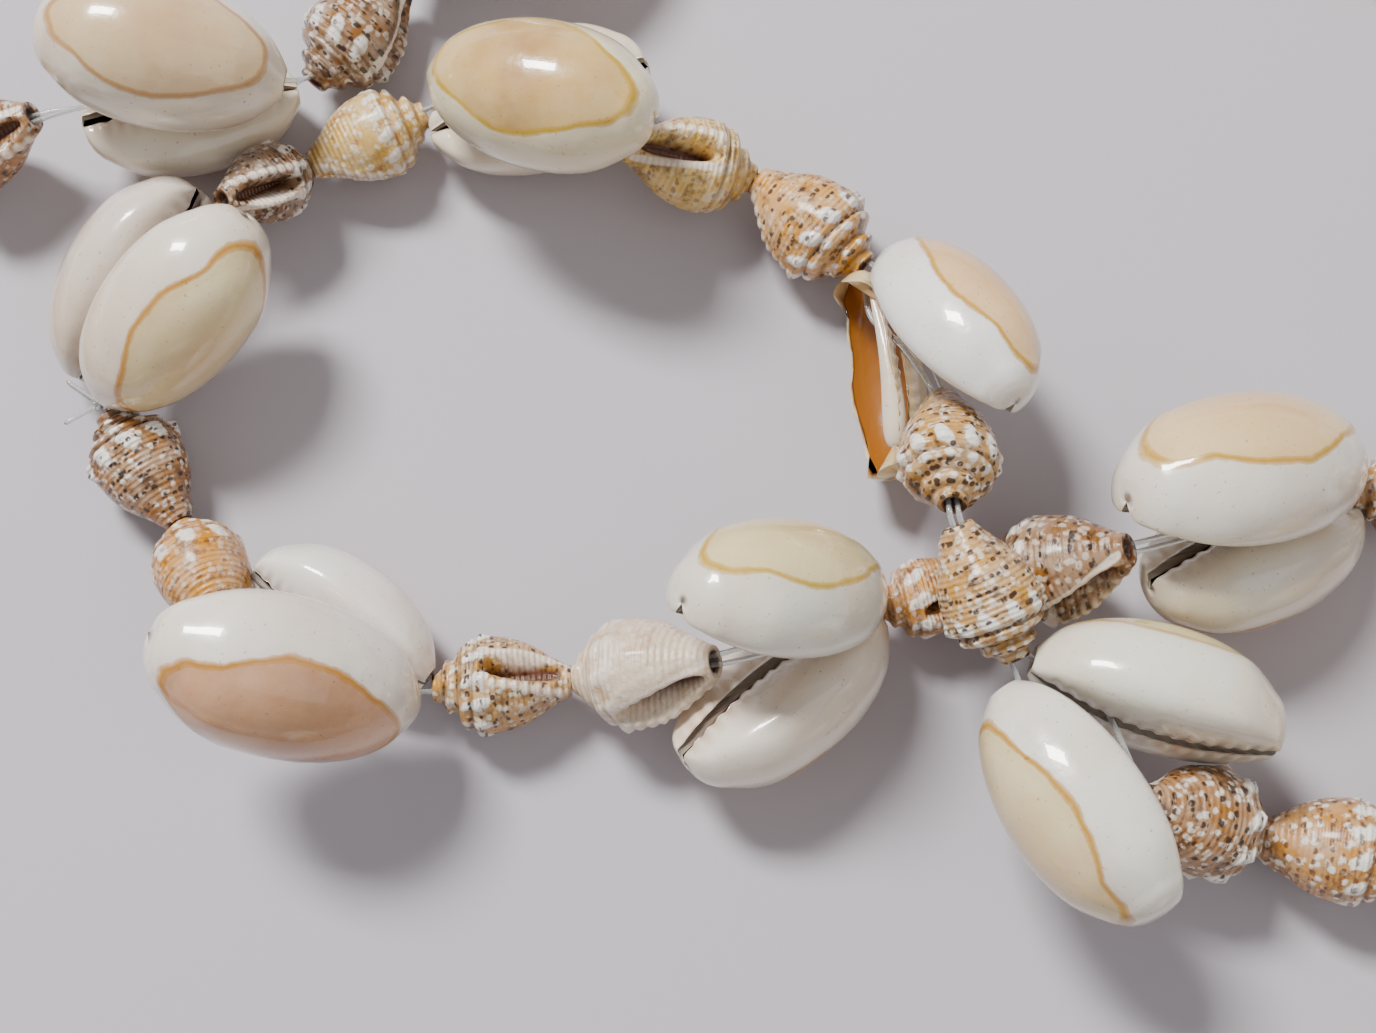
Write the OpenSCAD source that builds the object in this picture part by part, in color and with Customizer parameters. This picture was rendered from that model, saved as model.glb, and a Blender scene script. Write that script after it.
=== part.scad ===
// Cowrie shell necklace: pairs of ring cowries, each pair followed by two small dove shells,
// on two clear threads that are closed with one knot. It lies on a surface in a crossed loop.
// X and Y run along the surface and Z goes up from it; the origin is the middle of the footprint.

/* [Cowries] */
// Length of a full-size cowrie, from its drilled tip to its free end
cowrie_length = 19; // [17.5:0.5:20.5]
// Width of a full-size cowrie across its base
cowrie_width = 11.6; // [10.8:0.2:12.4]
// Height of a full-size cowrie, from its base to its back
cowrie_height = 8.8; // [8.3:0.1:9.3]
// Thickness of a cowrie's wall
cowrie_wall = 1.2; // [0.8:0.1:1.5]
// Width of the slit along a cowrie's base
slit_width = 1.8; // [1.6:0.1:2]

/* [Dove shells] */
// Length of a dove shell, from its spire to its front end
dove_length = 9.8; // [9:0.2:10.6]
// Width of a dove shell across its shoulder
dove_width = 6.8; // [6.2:0.2:7.4]
// Width of a dove shell's mouth
mouth_width = 1.8; // [1.2:0.1:2.4]

/* [Threading] */
// Diameter of each of the two threads
thread_diameter = 0.4; // [0.3:0.05:0.45]
// Diameter of the holes drilled in the shells
hole_diameter = 1.4; // [1.35:0.05:1.5]
// Way that the threads cross between a pair's tips and the next dove shell
tip_gap = 0.5; // [0.4:0.1:1]
// Clear space between two dove shells
dove_gap = 0.9; // [0.8:0.1:1.3]
// Clear space between two shells that lie against each other
touch_gap = 0.2; // [0.1:0.05:0.4]
// Diameter of the knot
knot_diameter = 1.2; // [1:0.1:1.4]
// Length of the two thread ends that stick out of the knot
tail_length = 2.5; // [1.5:0.5:5]

/* [Hidden] */
// ROUTE has a row for each pair of cowries, in the order of the threads. X and Y are the place
// of the pair's tips, in shares of the pitch. FIRST and SECOND turn the two dove shells before
// the pair to the left of the straight way between the tips, in degrees. AHEAD moves the first
// one away from the tips behind it, MID lifts the joint between the two and END lifts the second
// one's front end from the middle of its pair, all in shares of the dove shells' width. BIG_1 and
// BIG_2 are their sizes. LIFT lifts the pair's tips, in the same shares.
X = 0;
Y = 1;
FIRST = 2;
SECOND = 3;
AHEAD = 4;
MID = 5;
END = 6;
BIG_1 = 7;
BIG_2 = 8;
LIFT = 9;
ROUTE = [
    [ 0.65, -0.35,  15,  11, 0.03, 0.00, 0.00, 1.06, 1.10, 0.9],
    [ 0.38,  0.50,   7, -19, 0.10, 1.18, 0.00, 1.00, 1.00, 0.1],
    [-0.52,  0.87, -19,  15, 0.04, 0.00, 0.50, 1.04, 1.00, 0.0],
    [-1.24,  0.25, -15,  -1, 0.19, 0.00, 0.00, 0.93, 0.82, 0.0],
    [-0.53, -0.37, -14, -19, 0.32, 0.00, 0.00, 0.96, 0.96, 0.0],
    [ 0.38, -0.21,  -7,  -5, 0.04, 0.00, 0.00, 0.98, 1.10, 0.0],
    [ 1.36,  0.03,   0,  -5, 0.00, 0.00, 0.00, 0.80, 1.08, 0.0],
    [ 2.30, -0.20,  15,   0, 0.00, 0.00, 0.00, 1.00, 1.00, 0.0],
    [ 2.34, -1.26,   0,   0, 0.40, 0.00, 0.00, 1.00, 0.96, 0.0],
    [ 1.36, -1.60,  20,   0, 0.15, 0.00, 0.00, 1.04, 1.00, 0.0],
    [ 0.34, -1.78,   5,   0, 0.00, 0.00, 0.00, 1.00, 1.04, 0.0],
    [-0.70, -1.76,   6,   0, 0.00, 0.00, 0.00, 0.96, 1.00, 0.0],
    [-1.68, -1.40,  10,   4, 0.00, 0.00, 0.00, 1.00, 1.04, 0.0],
    [-2.14, -0.46,  18,   0, 0.00, 0.00, 0.00, 1.04, 0.96, 0.0],
    [-1.86,  0.55,  16,   4, 0.00, 0.00, 0.00, 1.00, 1.00, 0.0],
    [-0.83,  0.89,  18,   0, 0.00, 0.00, 0.50, 1.00, 1.00, 0.0],
    [-0.12,  1.58,   6,   0, 0.20, 0.00, 0.00, 1.04, 0.96, 0.0],
    [ 0.88,  1.70,  12,   4, 0.00, 0.00, 0.00, 1.00, 1.04, 0.0],
    [ 1.86,  1.28,  14,   0, 0.00, 0.00, 0.00, 0.96, 1.00, 0.0],
    [ 2.72,  0.56,  16,   0, 0.00, 0.00, 0.00, 1.00, 1.04, 0.0],
    [ 2.64, -0.42,  10,   0, 0.00, 0.00, 0.00, 1.04, 0.96, 0.5],
    [ 1.44, -0.72,   0,   0, 0.40, 1.00, 0.00, 1.00, 1.00, 0.3]
];
// PAIRS has the same rows. Looking along the threads, cowrie A lies on the left of a pair and
// cowrie B on the right. STACK rolls the pair, in degrees: A comes to lie on top at 90, and B
// at -90. OPEN_A and OPEN_B are the least angles between each cowrie and the middle of the pair,
// in the plane of the surface where one lies on top. LEAN_A and LEAN_B turn their backs upwards.
// BIG_A and BIG_B are their sizes, as shares of the full size. MOUTH_1 and MOUTH_2 turn the
// mouths of the two dove shells, from straight up to the left.
OPEN_A = 0;
OPEN_B = 1;
LEAN_A = 2;
LEAN_B = 3;
STACK = 4;
BIG_A = 5;
BIG_B = 6;
MOUTH_1 = 7;
MOUTH_2 = 8;
PAIRS = [
    [ 10,  30,  5,  0,  14, 0.98, 0.96,  160, -150],
    [ 22,   0,  0,  0, -35, 0.84, 0.88,  170,  160],
    [-32,   0,  0,  0, -90, 0.92, 0.94,  120,    0],
    [  6,   4,  0,  0,  30, 0.95, 0.90,  100,   40],
    [ 22,   0,  0,  0, -45, 0.80, 1.04, -170,  150],
    [  0,  22,  0,  0,  40, 0.97, 0.95,   20,  -60],
    [  0,   5,  0,  0,  40, 1.08, 0.95,  -30,  -70],
    [  0,  12,  0,  0,  20, 0.98, 0.96,   40,  150],
    [  6,   0,  0,  0, -20, 0.97, 1.00, -150,   60],
    [  0,   0,  0,  5,  25, 1.00, 0.96,   90, -120],
    [  0,   0,  5,  0, -25, 1.02, 0.98,  -60,  130],
    [  0,   0,  0,  0,  20, 0.98, 1.00,  160,  -20],
    [  0,   0,  5,  0, -20, 1.00, 0.97,  -90,   80],
    [  0,   0,  0,  0,  25, 0.97, 1.00,   30, -160],
    [  0,   0,  0,  0,  20, 1.00, 0.96,  120,  100],
    [ -5, -18,  0,  0, -90, 0.86, 0.95,   30,  -30],
    [  0,  12,  0,  5,  25, 1.00, 0.97,  -90,  170],
    [  0,   0,  0,  0, -25, 0.98, 1.00,   70,  -50],
    [  0,   0,  5,  0,  20, 1.00, 0.98, -130,  110],
    [  0,   0,  0,  0, -20, 0.97, 0.99,  150,  -70],
    [  0,  11,  0,  5,  25, 1.00, 0.96,  -20,  140],
    [  0,   0,  0,  0, -15, 0.99, 0.97,   50, -110]
];
// Half outlines, from the tip or the spire to the other end. ALONG is a share of the length
// and OUT is a share of half the width.
ALONG = 0;
OUT = 1;
COWRIE = [
    [0.00, 0.20],
    [0.03, 0.34],
    [0.08, 0.53],
    [0.16, 0.72],
    [0.28, 0.88],
    [0.42, 0.98],
    [0.55, 1.00],
    [0.68, 0.96],
    [0.80, 0.84],
    [0.90, 0.62],
    [0.96, 0.42],
    [1.00, 0.22]
];
DOVE = [
    [0.00, 0.28],
    [0.08, 0.40],
    [0.09, 0.46],
    [0.18, 0.62],
    [0.19, 0.70],
    [0.28, 0.92],
    [0.38, 1.00],
    [0.50, 0.96],
    [0.65, 0.80],
    [0.80, 0.57],
    [0.92, 0.40],
    [1.00, 0.30]
];
// The cowrie that is broken open, by its pair's row and its side.
BROKEN = [1, 0];
// The break runs past its axis at this share of its width, turned this far from its back.
break_height = 0.1;
break_turn = 50;
// The pair whose tips the knot sits in front of.
KNOT_ROW = 3;
// The middle of the footprint, in shares of the pitch.
MIDDLE = [0.319, -0.035];

count = len(ROUTE);
// The share of a cowrie's length that a pair takes up between its tips and the shells behind it.
pair_share = 0.8;
pitch = 2 * dove_length + dove_gap + tip_gap + pair_share * cowrie_length;
base_depth = cowrie_height - cowrie_width / 2;
base_radius = 1.3 * cowrie_length;
thread_height = dove_width / 2 * max([for (r = ROUTE) max(r[BIG_1], r[BIG_2])]);
// The clear space between the two threads, half the way between their middles, the room that is
// drilled round them in the slits, and how far from a dove shell they bend.
strand_gap = 0.25;
strand_apart = (thread_diameter + strand_gap) / 2;
thread_room = thread_diameter;
bend_room = 0.45 * dove_gap;

// Where the threads bend inside a cowrie, where they enter its slit, and where the cowries of a
// stacked pair cross, as shares of the length.
bend_share = 0.22;
entry_share = 0.36;
cross_share = 0.25;
// The angle at which a cowrie's place is worked out where a dove shell lies beside it.
nest_open = 3;
// How much further a stacked cowrie rises than the one that it lies on.
stack_rise = 4;
// How far the threads stay above the base of a cowrie where they enter its slit, as a share of
// their diameter.
entry_height = 1.15;
// How far the ends of the knot spread and rise.
tail_turn = 35;
tail_rise = 20;
// The least wall round the hole in a dove shell, and the middle and the length of its mouth, as
// shares of the length.
dove_wall = 0.35;
mouth_share = 0.68;
mouth_length = 0.6;
mouth_outline = [for (turn = [0 : 20 : 340])
    [mouth_length / 2 * dove_length * cos(turn), mouth_width / 2 * sin(turn)]];
// Where a cowrie's slit starts and where it has run out of the free end, as shares of the length.
slit_start = 0.17;
slit_end = 1.1;

function row(i) = (i + count) % count;
function side_name(side) = side == 0 ? "a" : "b";
function sign_of(side) = side == 0 ? 1 : -1;
function heading(v) = atan2(v[1], v[0]);
function wrap(angle) = (angle + 720 + 180) % 360 - 180;
function way(angle, rise = 0) = [cos(angle) * cos(rise), sin(angle) * cos(rise), sin(rise)];
function flat(v) = [v[0], v[1], 0];

// The place of a pair's tips on the surface, and how much higher than the threads they are.
function tips(i) = pitch * ([ROUTE[row(i)][X], ROUTE[row(i)][Y], 0] - [MIDDLE[0], MIDDLE[1], 0]);
function lift(i) = ROUTE[row(i)][LIFT] * dove_width;

// Whether one cowrie of a pair lies flat on top of the other.
function stacked(i) = abs(PAIRS[i][STACK]) == 90;

// How high the middle of a pair is above the surface at its tips, and how far its lower cowrie
// rises from its tip.
function low_seat(i) =
    let (
        p = PAIRS[i],
        low = p[STACK] > 0 ? 1 : 0,
        room = stacked(i) ? thread_room : 0,
        apart = tip_apart(0, p[low == 0 ? LEAN_A : LEAN_B], p[low == 0 ? BIG_A : BIG_B]) + room,
        middle = thread_height + lift(i) + apart * pow(sin(p[STACK]), 2)
    )
    [middle, floor_rise(middle - apart * abs(sin(p[STACK])), p[low == 0 ? BIG_A : BIG_B])];

// The two dove shells before a pair: start and end of the first, start and end of the second.
function dove_points(i) =
    let (
        r = ROUTE[i],
        back = tips(i - 1),
        straight = heading(tips(i) - back),
        first_way = straight + r[FIRST],
        second_way = straight + r[SECOND],
        first_long = r[BIG_1] * dove_length,
        second_long = r[BIG_2] * dove_length,
        climb = asin((r[MID] * dove_width - lift(i - 1)) / first_long),
        base = [0, 0, thread_height + lift(i - 1)],
        start = back + base + (tip_gap + r[AHEAD] * dove_width) * way(first_way),
        joint = start + first_long * way(first_way, climb),
        after = joint + (1 + r[MID]) * dove_gap * way((first_way + second_way) / 2),
        reach = norm(flat(after + second_long * way(second_way) - tips(i))),
        low = low_seat(i),
        middle = stacked(i) ? thread_height + lift(i) : low[0] + reach * sin(low[1]),
        rise = asin((middle + r[END] * dove_width - after[2]) / second_long)
    )
    [start, joint, after, after + second_long * way(second_way, rise)];
DOVES = [for (i = [0 : count - 1]) dove_points(i)];

// How far the rounded base of a cowrie has come in at a share of its length.
function base_rise(along) =
    base_radius - sqrt(pow(base_radius, 2) - pow((along - 0.5) * cowrie_length, 2));

// Half the thickness of a cowrie towards its partner at a share of its length, when its back is
// turned away from the partner but for the lean.
function half_width(along) = lookup(along, COWRIE) * cowrie_width / 2;
function thickness(along, lean) =
    let (edge = acos(min(1, (base_depth - base_rise(along)) / half_width(along))))
    half_width(along) * cos(max(0, edge - abs(lean)));

// How far a cowrie's tip is from the middle of its pair, so that it clears the middle.
function tip_apart(open, lean, big) =
    touch_gap / 2 + big * max([for (p = COWRIE)
        thickness(p[ALONG], lean) * cos(open) - p[ALONG] * cowrie_length * sin(open)]);

// The least angle at which a cowrie clears the dove shell that reaches in from behind.
function nest_angle(i, side) =
    let (
        end = DOVES[i][3],
        start = DOVES[i][2],
        tip = tips(i),
        back = heading(end - tip),
        big = ROUTE[i][BIG_2],
        reach = cowrie_length * PAIRS[i][side == 0 ? BIG_A : BIG_B]
    )
    max([for (p = DOVE)
        let (
            at = flat(end + (1 - p[ALONG]) * (start - end)) - tip,
            off = sign_of(side) * wrap(back - heading(at)),
            nearer = thickness(min(1, norm(at) / reach), 0) - tip_apart(nest_open, 0, 1),
            beside = big * p[OUT] * dove_width / 2 + 2 * touch_gap + nearer
        )
        norm(at) < reach ? asin(min(0.9, sin(off) + beside / norm(at))) : 0]);

// How far a cowrie rises from its tip so that its belly rests on the surface.
function floor_rise(height, big) = max([for (p = COWRIE)
    let (
        wide = p[OUT] * cowrie_width / 2,
        reach = big * norm([p[ALONG] * cowrie_length, wide])
    )
    acos(min(1, height / reach)) - atan2(p[ALONG] * cowrie_length, wide)]);

// A cowrie's seat: its tip, heading, rise, roll about its length and size.
TIP = 0;
HEADING = 1;
LEVEL = 2;
ROLL = 3;
BIG = 4;
function seat(i, side) =
    let (
        p = PAIRS[i],
        roll_over = p[STACK],
        upper = sign_of(side) * roll_over > 0,
        back = heading(DOVES[i][3] - tips(i)),
        least = [p[OPEN_A], p[OPEN_B]],
        open = stacked(i) ? least : [for (k = [0, 1]) max(least[k], nest_angle(i, k))],
        big = p[side == 0 ? BIG_A : BIG_B],
        lean = p[side == 0 ? LEAN_A : LEAN_B],
        turned = stacked(i) ? 0 : open[side],
        apart = tip_apart(turned, lean, big) + (stacked(i) ? thread_room : 0),
        low = low_seat(i),
        out = cos(roll_over) * way(back - 90) + sin(roll_over) * [0, 0, 1],
        turn = stacked(i) ? open[side] : open[side] * cos(roll_over),
        shift = stacked(i) ? -cross_share * cowrie_length * sin(sign_of(side) * turn) : 0,
        tip = tips(i) + [0, 0, low[0]] + sign_of(side) * apart * out + shift * way(back - 90),
        over = low[1] + (stacked(i) ? stack_rise : (open[0] + open[1]) * abs(sin(roll_over))),
        level = max(upper ? over : 0, floor_rise(tip[2], big)),
        roll = side == 0 ? 90 - roll_over - lean : lean - 90 - roll_over
    )
    [tip, back - sign_of(side) * turn, level, roll, big];
SEATS = [for (i = [0 : count - 1]) [seat(i, 0), seat(i, 1)]];

// A point given in a cowrie's own axes: along it, across it and towards its back.
function placed(s, p) =
    let (
        along = way(s[HEADING], s[LEVEL]),
        level_across = way(s[HEADING] + 90),
        level_up = cross(along, level_across),
        across = cos(s[ROLL]) * level_across + sin(s[ROLL]) * level_up,
        up = cos(s[ROLL]) * level_up - sin(s[ROLL]) * level_across
    )
    s[TIP] + s[BIG] * (p[0] * along + p[1] * across + p[2] * up);

// The points that one thread goes through from the start of a pair's dove shells to its tips.
function strand(i, side) =
    let (
        d = DOVES[i],
        s = SEATS[i][side],
        first = (d[1] - d[0]) / norm(d[1] - d[0]),
        second = (d[3] - d[2]) / norm(d[3] - d[2]),
        one = sign_of(side) * strand_apart * way(heading(first) + 90),
        two = sign_of(side) * strand_apart * way(heading(second) + 90),
        bend = placed(s, [bend_share * cowrie_length, 0, 0]),
        out = d[3] + two + bend_room * second,
        slit_in = entry_height * thread_diameter - base_depth - touch_gap / 2,
        entry = stacked(i) ? (bend + out) / 2 : placed(s, [entry_share * cowrie_length, 0, slit_in])
    )
    [
        d[0] + one - bend_room * first,
        d[1] + one + bend_room * first,
        d[2] + two - bend_room * second,
        out,
        entry,
        bend
    ];
// The points between which a thread's way through its cowrie is drilled.
function drilled(i, side) =
    let (s = strand(i, side), next = strand(row(i + 1), side))
    [s[3], s[4], s[5], next[0]];

function cowrie_name(i, side) = str("cowrie_", i < 9 ? "0" : "", i + 1, "_", side_name(side));

curve = 48;

// A straight rod from one point to another.
module rod(from, to, diameter) {
    v = to - from;
    translate(from)
        rotate([0, acos(v[2] / norm(v)), heading(v)])
            cylinder(d = diameter, h = norm(v), $fn = curve);
}

// A solid cowrie with its tip at the origin, its length along X and its back up, made smaller
// all round for its hollow.
module cowrie_body(shrink) {
    outline = [for (p = COWRIE) if (p[OUT] * cowrie_width / 2 > 1.5 * shrink)
        [p[OUT] * cowrie_width / 2 - shrink, p[ALONG] * cowrie_length]];
    intersection() {
        rotate([0, 90, 0])
            rotate_extrude($fn = 2 * curve)
                polygon(concat([[0, outline[0][1]]], outline, [[0, outline[len(outline) - 1][1]]]));
        translate([cowrie_length / 2, 0, base_radius - base_depth])
            sphere(r = base_radius - shrink, $fn = 3 * curve);
    }
}

module cowrie_shell(broken) {
    difference() {
        cowrie_body(0);
        cowrie_body(cowrie_wall);
        translate([slit_start * cowrie_length, -slit_width / 2, -base_depth - 1])
            cube([(slit_end - slit_start) * cowrie_length, slit_width, 2 + cowrie_wall]);
        if (broken)
            rotate([-break_turn, 0, 0])
                translate([-1, -cowrie_width, break_height * cowrie_width])
                    cube([cowrie_length + 2, 2 * cowrie_width, cowrie_width]);
    }
}

// One cowrie in its seat, with its tip drilled and room for both threads at its slit.
module cowrie(i, side) {
    s = SEATS[i][side];
    color("ivory")
        difference() {
            translate(s[TIP])
                rotate([0, 0, s[HEADING]])
                    rotate([0, -s[LEVEL], 0])
                        rotate([s[ROLL], 0, 0])
                            scale(s[BIG])
                                cowrie_shell([i, side] == BROKEN);
            for (other = [0, 1], holes = [drilled(i, other)], k = [0 : 2])
                rod(
                    holes[k],
                    holes[k + 1],
                    other == side && k == 2 ? hole_diameter : thread_diameter + thread_room
                );
        }
}

// A dove shell between two points, drilled from end to end, with its spire at the first one.
module dove_shell(from, to, mouth) {
    v = to - from;
    big = norm(v) / dove_length;
    hole = hole_diameter / 2;
    translate(from)
        rotate([0, acos(v[2] / norm(v)), heading(v)])
            rotate([0, 0, 180 - mouth])
                difference() {
                    rotate_extrude($fn = 2 * curve)
                        polygon(concat(
                            [[hole, 0]],
                            [for (p = DOVE) big * [p[OUT] * dove_width / 2, p[ALONG] * dove_length]],
                            [[hole, norm(v)]]
                        ));
                    translate([hole + dove_wall, 0, mouth_share * norm(v)])
                        rotate([0, 90, 0])
                            linear_extrude(dove_width)
                                polygon(mouth_outline);
                }
}

module dove_shells(first) {
    color("tan")
        for (i = [0 : count - 1])
            dove_shell(DOVES[i][first], DOVES[i][first + 1], PAIRS[i][first == 0 ? MOUTH_1 : MOUTH_2]);
}

// A closed thread through a list of points, each corner mitred.
module thread(side) {
    sides = 8;
    points = [for (i = [0 : count - 1]) each strand(i, side)];
    total = len(points);
    rings = [for (k = [0 : total - 1])
        let (
            into = points[k] - points[(k + total - 1) % total],
            onward = points[(k + 1) % total] - points[k],
            along = into / norm(into) + onward / norm(onward),
            across = cross([0, 0, 1], along) / norm(cross([0, 0, 1], along)),
            up = cross(along, across) / norm(cross(along, across))
        )
        for (j = [0 : sides - 1])
            points[k] + thread_diameter / 2 * (cos(360 * j / sides) * across + sin(360 * j / sides) * up)];
    faces = [for (k = [0 : total - 1], j = [0 : sides - 1])
        let (n = (k + 1) % total, m = (j + 1) % sides)
        each [
            [k * sides + j, n * sides + j, n * sides + m],
            [k * sides + j, n * sides + m, k * sides + m]
        ]];
    color("lightgray")
        polyhedron(rings, faces);
}

// The knot, on top of the threads in front of a pair's tips.
module knot() {
    a = strand(row(KNOT_ROW + 1), 0)[0];
    b = strand(row(KNOT_ROW + 1), 1)[0];
    back = way(heading(DOVES[row(KNOT_ROW + 1)][0] - DOVES[row(KNOT_ROW + 1)][1]));
    centre = (a + b) / 2 + knot_diameter / 2 * back + (knot_diameter / 2 + thread_diameter) * [0, 0, 1];
    color("lightgray") {
        translate(centre)
            sphere(d = knot_diameter, $fn = curve);
        for (turn = [-tail_turn, tail_turn], out = [way(180 + turn, tail_rise)])
            rod(centre, centre + (knot_diameter / 2 + tail_length) * out, thread_diameter);
    }
}

for (i = [0 : count - 1], side = [0, 1])
    cowrie(i, side);
dove_shells(0);  // dove_shells_first
dove_shells(2);  // dove_shells_second
thread(0);  // thread_a
thread(1);  // thread_b
knot();
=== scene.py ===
# %% [markdown]
# # A cowrie shell necklace
#
# Twenty-two pairs of ring cowries alternate with pairs of small dove shells, on two clear
# nylon threads. The frame is loaded first, because every shell is remade in its CAD place.

# %% Load the packed part
import math
import bpy
import numpy as np
from mathutils import Matrix


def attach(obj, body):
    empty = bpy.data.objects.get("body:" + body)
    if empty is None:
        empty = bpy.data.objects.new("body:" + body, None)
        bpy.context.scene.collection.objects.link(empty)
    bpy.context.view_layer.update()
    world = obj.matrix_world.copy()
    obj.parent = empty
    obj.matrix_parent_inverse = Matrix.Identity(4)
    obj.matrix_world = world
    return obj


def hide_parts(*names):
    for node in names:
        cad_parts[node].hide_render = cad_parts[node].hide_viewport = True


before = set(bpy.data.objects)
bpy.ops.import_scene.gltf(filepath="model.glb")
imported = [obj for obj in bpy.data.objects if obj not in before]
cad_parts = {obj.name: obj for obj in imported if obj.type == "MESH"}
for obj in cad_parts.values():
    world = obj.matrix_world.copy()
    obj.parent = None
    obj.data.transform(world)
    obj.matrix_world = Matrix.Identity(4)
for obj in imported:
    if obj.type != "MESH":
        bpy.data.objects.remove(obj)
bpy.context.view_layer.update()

# %% [markdown]
# ## Helpers
#
# A surface could be drawn by hand or as a sculpt. Here each one is a grid of points that a
# formula gives, because a grid stays closed, light and easy to change.


# %% Colours, smooth tables and waves
GAMMA = 2.2


def colour(code):
    """Linear colour of a hexadecimal sRGB code: each channel is raised to the power gamma."""
    channels = [int(code[k:k + 2], 16) / 255 for k in (1, 3, 5)]
    return np.array([c ** GAMMA for c in channels] + [1.0])


def tint(code):
    """The same colour as a plain tuple, for a shader's socket."""
    return tuple(colour(code))


def smooth(table, at):
    """A smooth curve through a table of (position, value): on each span a cubic that has the
    table's values and slopes at both ends."""
    where, value = np.array(table, float).T
    slope = np.gradient(value, where)
    k = np.clip(np.searchsorted(where, at, side="right") - 1, 0, len(where) - 2)
    span = where[k + 1] - where[k]
    t = np.clip((at - where[k]) / span, 0, 1)
    start, end = value[k] * (1 + 2 * t), value[k + 1] * (3 - 2 * t)
    return (start * (1 - t) ** 2 + end * t ** 2
            + span * t * (1 - t) * (slope[k] * (1 - t) - slope[k + 1] * t))


def step(low, high, value):
    """Smooth step from 0 at low to 1 at high: 3 t squared minus 2 t cubed."""
    t = np.clip((value - low) / (high - low), 0, 1)
    return t * t * (3 - 2 * t)


def bell(value, width):
    """Bell curve, 1 in the middle: e to the minus of value over width squared."""
    return np.exp(-(value / width) ** 2)


def wave(angle):
    """A wave between 0 and 1: half of one more than the cosine."""
    return 0.5 + 0.5 * np.cos(angle)


print("a step is half way up at", step(0, 1, 0.5), "and a bell is 1 at", bell(0, 1))


# %% [markdown]
# Blender needs the faces as well as the points. Each face joins four neighbours of the grid,
# so its numbers come from the row and column alone and no loop over faces is needed.


# %% Faces and meshes
def grid_faces(rows, columns, close_rows, close_columns):
    """Quads between neighbours of a grid, numbered row by row, as an array of four columns."""
    r = np.arange(rows if close_rows else rows - 1)[:, None]
    c = np.arange(columns if close_columns else columns - 1)[None, :]
    r2, c2 = (r + 1) % rows, (c + 1) % columns
    quad = [r * columns + c, r2 * columns + c, r2 * columns + c2, r * columns + c2]
    return np.stack([np.broadcast_to(q, (len(r), c.shape[1])).ravel() for q in quad], 1)


print("a grid of 3 by 4 points, closed both ways, has", len(grid_faces(3, 4, True, True)), "faces")


def volume(points, quads):
    """Signed volume inside quads: the sum of each fan triangle's triple product over six."""
    a, b, c, d = (points[quads[:, k]] for k in range(4))
    return float(np.einsum("ij,ij->i", a, np.cross(b, c) + np.cross(c, d)).sum() / 6)


def mesh_object(name, points, quads, triangles=None, floats=None, colours=None, uv=None):
    """A smooth mesh from points in metres. Faces are turned outward by the sign of the volume.
    floats and colours are attributes by name, one row for each point, and uv is one pair for
    each corner."""
    if volume(points, quads) < 0:
        quads = quads[:, ::-1]
        triangles = None if triangles is None else triangles[:, ::-1]
        uv = None if uv is None else uv.reshape(-1, 4, 2)[:, ::-1].reshape(-1, 2)
    corners = quads.ravel()
    totals = np.full(len(quads), 4)
    if triangles is not None:
        corners = np.concatenate([corners, triangles.ravel()])
        totals = np.concatenate([totals, np.full(len(triangles), 3)])
    mesh = bpy.data.meshes.new(name)
    mesh.vertices.add(len(points))
    mesh.vertices.foreach_set("co", points.ravel())
    mesh.loops.add(len(corners))
    mesh.loops.foreach_set("vertex_index", corners)
    mesh.polygons.add(len(totals))
    mesh.polygons.foreach_set("loop_start", np.concatenate([[0], np.cumsum(totals)[:-1]]))
    mesh.update(calc_edges=True)
    for key, values in (floats or {}).items():
        flat = np.broadcast_to(values, (len(points),)).astype(np.float32)
        mesh.attributes.new(key, "FLOAT", "POINT").data.foreach_set("value", flat)
    for key, values in (colours or {}).items():
        flat = np.broadcast_to(values, (len(points), 4)).astype(np.float32)
        mesh.attributes.new(key, "FLOAT_COLOR", "POINT").data.foreach_set("color", flat.ravel())
    if uv is not None:
        mesh.uv_layers.new(name="spin").data.foreach_set("uv", uv.astype(np.float32).ravel())
    mesh.shade_smooth()
    made = bpy.data.objects.new(name, mesh)
    bpy.context.collection.objects.link(made)
    return made


# %% [markdown]
# ## Where everything lies
#
# The route of the threads is a short table, a row for each pair of cowries. The same rules
# as in the part's source turn it into the shells' seats, so each new shell fits its solid.

# %% Sizes in millimetres, and the two tables
MM = 0.001
COWRIE_LENGTH, COWRIE_WIDTH, COWRIE_HEIGHT, COWRIE_WALL = 19.0, 11.6, 8.8, 1.2
DOVE_LENGTH, DOVE_WIDTH = 9.8, 6.8
THREAD, STRAND_GAP, TIP_GAP, DOVE_GAP, TOUCH_GAP = 0.4, 0.25, 0.5, 0.9, 0.2
# Shares of a cowrie's length: from its tip to where the threads bend and enter, how far two
# stacked shells cross, the room of a pair, and the radius of its base.
BEND_SHARE, ENTRY_SHARE, CROSS_SHARE, PAIR_SHARE, BASE_SHARE = 0.22, 0.36, 0.25, 0.8, 1.3
NEST_OPEN, STACK_RISE = 3, 4
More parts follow.
